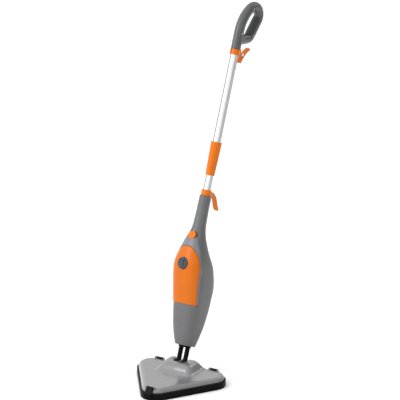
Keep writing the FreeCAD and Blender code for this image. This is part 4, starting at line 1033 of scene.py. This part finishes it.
class MOP_OT_head(bpy.types.Operator):
    """Builds the steam head: tray, seal and the glossy cover with its mound"""
    bl_idname = "mop.head"
    bl_label = "Steam head"

    def execute(self, context):
        refine("base_tray", "base_tray_pan", 40.0)
        refine("edge_seal", "edge_seal_ring", 40.0)
        cover = self.cover()
        fit(cover, "head", "cover_grey", "head_cover")
        refine("clip_lugs", "clip_lug_pairs")
        return {"FINISHED"}

    def cover(self):
        outline = head_outline(COVER_INSET)
        count = len(outline)
        centre = COVER_CENTRE
        profile = [(0.0, COVER_BASE), (0.0, COVER_BASE + 1.2), (0.7, 26.5), (2.2, 29.6), (4.2, 32.4),
                   (6.6, 34.4), (9.4, 35.5), (13.0, 35.95)]
        rings = 64
        points = []
        for inset, height in profile:
            for (x, y) in head_outline(COVER_INSET + inset, count):
                points.append(Vector((x, y, height)) * MM)
        inner = head_outline(COVER_INSET + profile[-1][0], count)
        for ring in range(1, rings):
            share = 1 - ring / rings
            for x, y in inner:
                px, py = centre[0] + (x - centre[0]) * share, centre[1] + (y - centre[1]) * share
                points.append(Vector((px, py, COVER_TOP + self.mound(px, py) + 0.6 * (1 - share))) * MM)
        rows = len(profile) + rings - 1
        points.append(Vector((*centre, COVER_TOP + self.mound(*centre) + 0.6)) * MM)
        faces = bridge(rows, count) + fan(rows, count) + [tuple(range(count))]
        cover = add_mesh("head_cover_shell", points, faces, "cover_grey", 60.0)
        cutters = []
        for side in (-1, 1):
            edges = sorted((side * 3.0, side * 19.8))
            cutters.append(plain_box((edges[0] * MM, -0.0192, 0.043), (edges[1] * MM, 0.060, 0.09)))
        cutters.append(plain_box((-0.030, -0.0085, 0.0465), (-0.0190, 0.060, 0.09)))
        cutters.append(lathe("cutter", [(3.4, -1.6), (3.4, 30.0)], (-0.060, -0.004, 0.0385), (0, 0, 1),
                             "seam_dark", 32))
        carve(cover, *cutters)
        shade(cover.data, 40.0)
        return cover

    @staticmethod
    def mound(x, y):
        """The raised housing of the hinge: sloping ends, a steeper back and a long soft front."""
        ends = (67.0 - abs(x)) / 28.0
        front = (y + 62.0) / 40.0
        back = (36.0 - y) / 22.0
        least = soft_least(soft_least(ends, front, 0.55), back, 0.4)
        share = min(max(least + 0.10, 0.0), 1.0)
        return (MOUND_TOP - 0.6) * share * share * (3 - 2 * share)


def soft_least(first, second, softness):
    """The smaller of two values, with a rounded change from one to the other."""
    near = max(softness - abs(first - second), 0.0) / softness
    return min(first, second) - near * near * softness * 0.25


def head_outline(inset, count=240):
    """Points round the head's plan, anticlockwise, drawn in by an inset; the same count for any inset."""
    corners = [(Vector(centre), radius - inset) for centre, radius in HEAD_CORNERS]
    marks = []
    for index in range(3):
        circle, following = corners[index], corners[(index + 1) % 3]
        previous = corners[index - 1]
        start = outward(previous, circle)
        end = outward(circle, following)
        first = math.atan2(start.y, start.x)
        last = math.atan2(end.y, end.x)
        if last < first:
            last += 2 * math.pi
        marks.append((circle, first, last))
    points = []
    arc_count, side_count = count // 6, count // 6
    for index in range(3):
        (centre, radius), first, last = marks[index]
        for step in range(arc_count):
            turn = first + (last - first) * step / arc_count
            points.append((centre.x + radius * math.cos(turn), centre.y + radius * math.sin(turn)))
        leave = centre + Vector((math.cos(last), math.sin(last))) * radius
        (next_centre, next_radius), next_first, _ = marks[(index + 1) % 3]
        reach = next_centre + Vector((math.cos(next_first), math.sin(next_first))) * next_radius
        for step in range(side_count):
            point = leave.lerp(reach, step / side_count)
            points.append((point.x, point.y))
    return points


def outward(first, second):
    """The outward direction of the straight side that touches two corner circles."""
    line = second[0] - first[0]
    along = line.normalized()
    across = Vector((along.y, -along.x))
    lean = (first[1] - second[1]) / line.length
    return along * lean + across * math.sqrt(1 - lean ** 2)


class MOP_OT_clips(bpy.types.Operator):
    """Builds the three cloth clips with finger ribs"""
    bl_idname = "mop.clips"
    bl_label = "Cloth clips"

    def execute(self, context):
        for side in ("front", "left", "right"):
            refine("clip_" + side, "cloth_clip_" + side, 30.0)
            self.ribs(side)
        return {"FINISHED"}

    @staticmethod
    def ribs(side):
        """Three raised ribs on the clip's outer wall."""
        low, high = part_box("clip_" + side)
        front = side == "front"
        face = low.y if front else high.y
        way = Vector((0, -1 if front else 1, 0))
        middle = (low.x + high.x) / 2
        points, faces = [], []
        segments = 6
        for step in range(segments + 1):
            turn = math.pi * step / segments
            for x in (-10.0, 10.0):
                points.append(Vector((x, -0.9 * math.cos(turn), 0.55 * math.sin(turn))) * MM)
        for step in range(segments):
            near = 2 * step
            faces.append((near, near + 1, near + 3, near + 2))
        faces.append((0, 2 * segments, 2 * segments + 1, 1))
        faces.append(tuple(2 * step for step in range(segments + 1)))
        faces.append(tuple(2 * step + 1 for step in reversed(range(segments + 1))))
        master = add_mesh("clip_rib_master", points, faces, "black_plastic")
        places = [(Vector((middle, face, low.z + height * MM)), way, 0.0) for height in (5.0, 9.0, 13.0)]
        ribs = repeat("clip_ribs_" + side, places, master, "black_plastic")
        fit(ribs, "clip_" + side, "black_plastic")


class MOP_OT_inner_parts(bpy.types.Operator):
    """Gives the working parts inside the housing and the head their finishes"""
    bl_idname = "mop.inner_parts"
    bl_label = "Inner parts"

    def execute(self, context):
        for name, node in NODES.items():
            if node.hide_render:
                continue
            finish = material(SLOT_OF[name])
            if not node.material_slots:
                node.data.materials.append(finish)
            for entry in node.material_slots:
                entry.link = "OBJECT"
                entry.material = finish
        return {"FINISHED"}


class MOP_OT_stage(bpy.types.Operator):
    """Sets the floor, the soft lights and the camera"""
    bl_idname = "mop.stage"
    bl_label = "Stage"

    def execute(self, context):
        settings = context.scene.mop_stage
        floor_mesh = bpy.data.meshes.new("floor")
        reach, drop = 9.0, -0.0006
        corners = [(-reach, -reach, drop), (reach, -reach, drop), (reach, reach, drop), (-reach, reach, drop)]
        floor_mesh.from_pydata(corners, [], [(0, 1, 2, 3)])
        plain = Paint("floor_tone", settings.floor_tone, 0.8)
        speck = plain.noise(400.0, 2.0)
        plain.set("Roughness", 0.8 + (speck - 0.5) * 0.05)
        floor_mesh.materials.append(plain.material)
        floor = bpy.data.objects.new("floor", floor_mesh)
        context.scene.collection.objects.link(floor)
        self.world()
        self.lights()
        self.camera(settings)
        return {"FINISHED"}

    @staticmethod
    def world():
        world = bpy.data.worlds.new("studio")
        world.use_nodes = True
        tree = world.node_tree
        background = tree.nodes["Background"]
        direction = tree.nodes.new("ShaderNodeTexCoord")
        lean = tree.nodes.new("ShaderNodeVectorMath")
        lean.operation = "DOT_PRODUCT"
        lean.inputs[1].default_value = Vector((-0.62, -0.34, 0.70)).normalized()
        tree.links.new(direction.outputs["Generated"], lean.inputs[0])
        level = tree.nodes.new("ShaderNodeMapRange")
        level.inputs["From Min"].default_value = -0.75
        level.inputs["From Max"].default_value = 0.95
        level.inputs["To Min"].default_value = 0.02
        level.inputs["To Max"].default_value = 1.55
        tree.links.new(lean.outputs["Value"], level.inputs["Value"])
        tree.links.new(level.outputs["Result"], background.inputs["Strength"])
        background.inputs["Color"].default_value = (1.0, 1.0, 1.0, 1.0)
        bpy.context.scene.world = world
        bpy.context.scene.view_settings.view_transform = "Standard"

    @staticmethod
    def lights():
        for name, place, aim, width, height, power in (
                ("key", (-1.5, -2.0, 2.4), (0, 0.1, 0.5), 1.0, 1.8, 26.0),
                ("fill", (2.4, -1.6, 1.4), (0, 0.1, 0.5), 0.6, 2.0, 3.0),
                ("rim", (1.2, 2.4, 2.2), (0, 0.1, 0.7), 1.0, 1.6, 9.0)):
            light = bpy.data.lights.new(name, "AREA")
            light.shape = "RECTANGLE"
            light.size = width
            light.size_y = height
            light.energy = power
            lamp = bpy.data.objects.new(name, light)
            lamp.location = place
            lamp.rotation_mode = "QUATERNION"
            lamp.rotation_quaternion = (Vector(aim) - Vector(place)).to_track_quat("-Z", "Y")
            bpy.context.scene.collection.objects.link(lamp)

    @staticmethod
    def camera(settings):
        right = Vector((math.cos(settings.azimuth), math.sin(settings.azimuth), 0))
        back = Vector((math.sin(settings.azimuth) * math.cos(settings.elevation),
                       -math.cos(settings.azimuth) * math.cos(settings.elevation), math.sin(settings.elevation)))
        up = back.cross(right)
        data = bpy.data.cameras.new("camera")
        data.type = "ORTHO"
        data.ortho_scale = settings.view_height
        distance = 4.0
        camera = bpy.data.objects.new("camera", data)
        camera.location = right * 0.0578 + up * 0.5578 + back * distance
        camera.rotation_mode = "QUATERNION"
        camera.rotation_quaternion = (-back).to_track_quat("-Z", "Y")
        bpy.context.scene.collection.objects.link(camera)
        bpy.context.scene.camera = camera


PIECES = (MOP_OT_housing, MOP_OT_bezel, MOP_OT_tank, MOP_OT_filler_cap, MOP_OT_button, MOP_OT_pole, MOP_OT_sleeve,
          MOP_OT_handle, MOP_OT_screws, MOP_OT_neck, MOP_OT_head, MOP_OT_clips, MOP_OT_inner_parts, MOP_OT_stage)
SETTINGS = (("mop_plastics", PlasticSettings), ("mop_details", DetailSettings), ("mop_stage", StageSettings))


class MOP_PT_pieces(bpy.types.Panel):
    """Lists the mop's pieces and settings"""
    bl_idname = "MOP_PT_pieces"
    bl_label = "Steam Mop"
    bl_space_type = "VIEW_3D"
    bl_region_type = "UI"
    bl_category = "Steam Mop"

    def draw(self, context):
        for piece in PIECES:
            self.layout.operator(piece.bl_idname)
        for name, group in SETTINGS:
            for key in group.__annotations__:
                self.layout.prop(getattr(context.scene, name), key)


def register():
    for _, group in SETTINGS:
        bpy.utils.register_class(group)
    for name, group in SETTINGS:
        setattr(bpy.types.Scene, name, bpy.props.PointerProperty(type=group))
    for piece in PIECES:
        bpy.utils.register_class(piece)
    bpy.utils.register_class(MOP_PT_pieces)


def unregister():
    bpy.utils.unregister_class(MOP_PT_pieces)
    for piece in reversed(PIECES):
        bpy.utils.unregister_class(piece)
    for name, group in reversed(SETTINGS):
        delattr(bpy.types.Scene, name)
        bpy.utils.unregister_class(group)


def main():
    register()
    for piece in PIECES:
        family, action = piece.bl_idname.split(".")
        getattr(getattr(bpy.ops, family), action)()


if __name__ == "__main__":
    main()
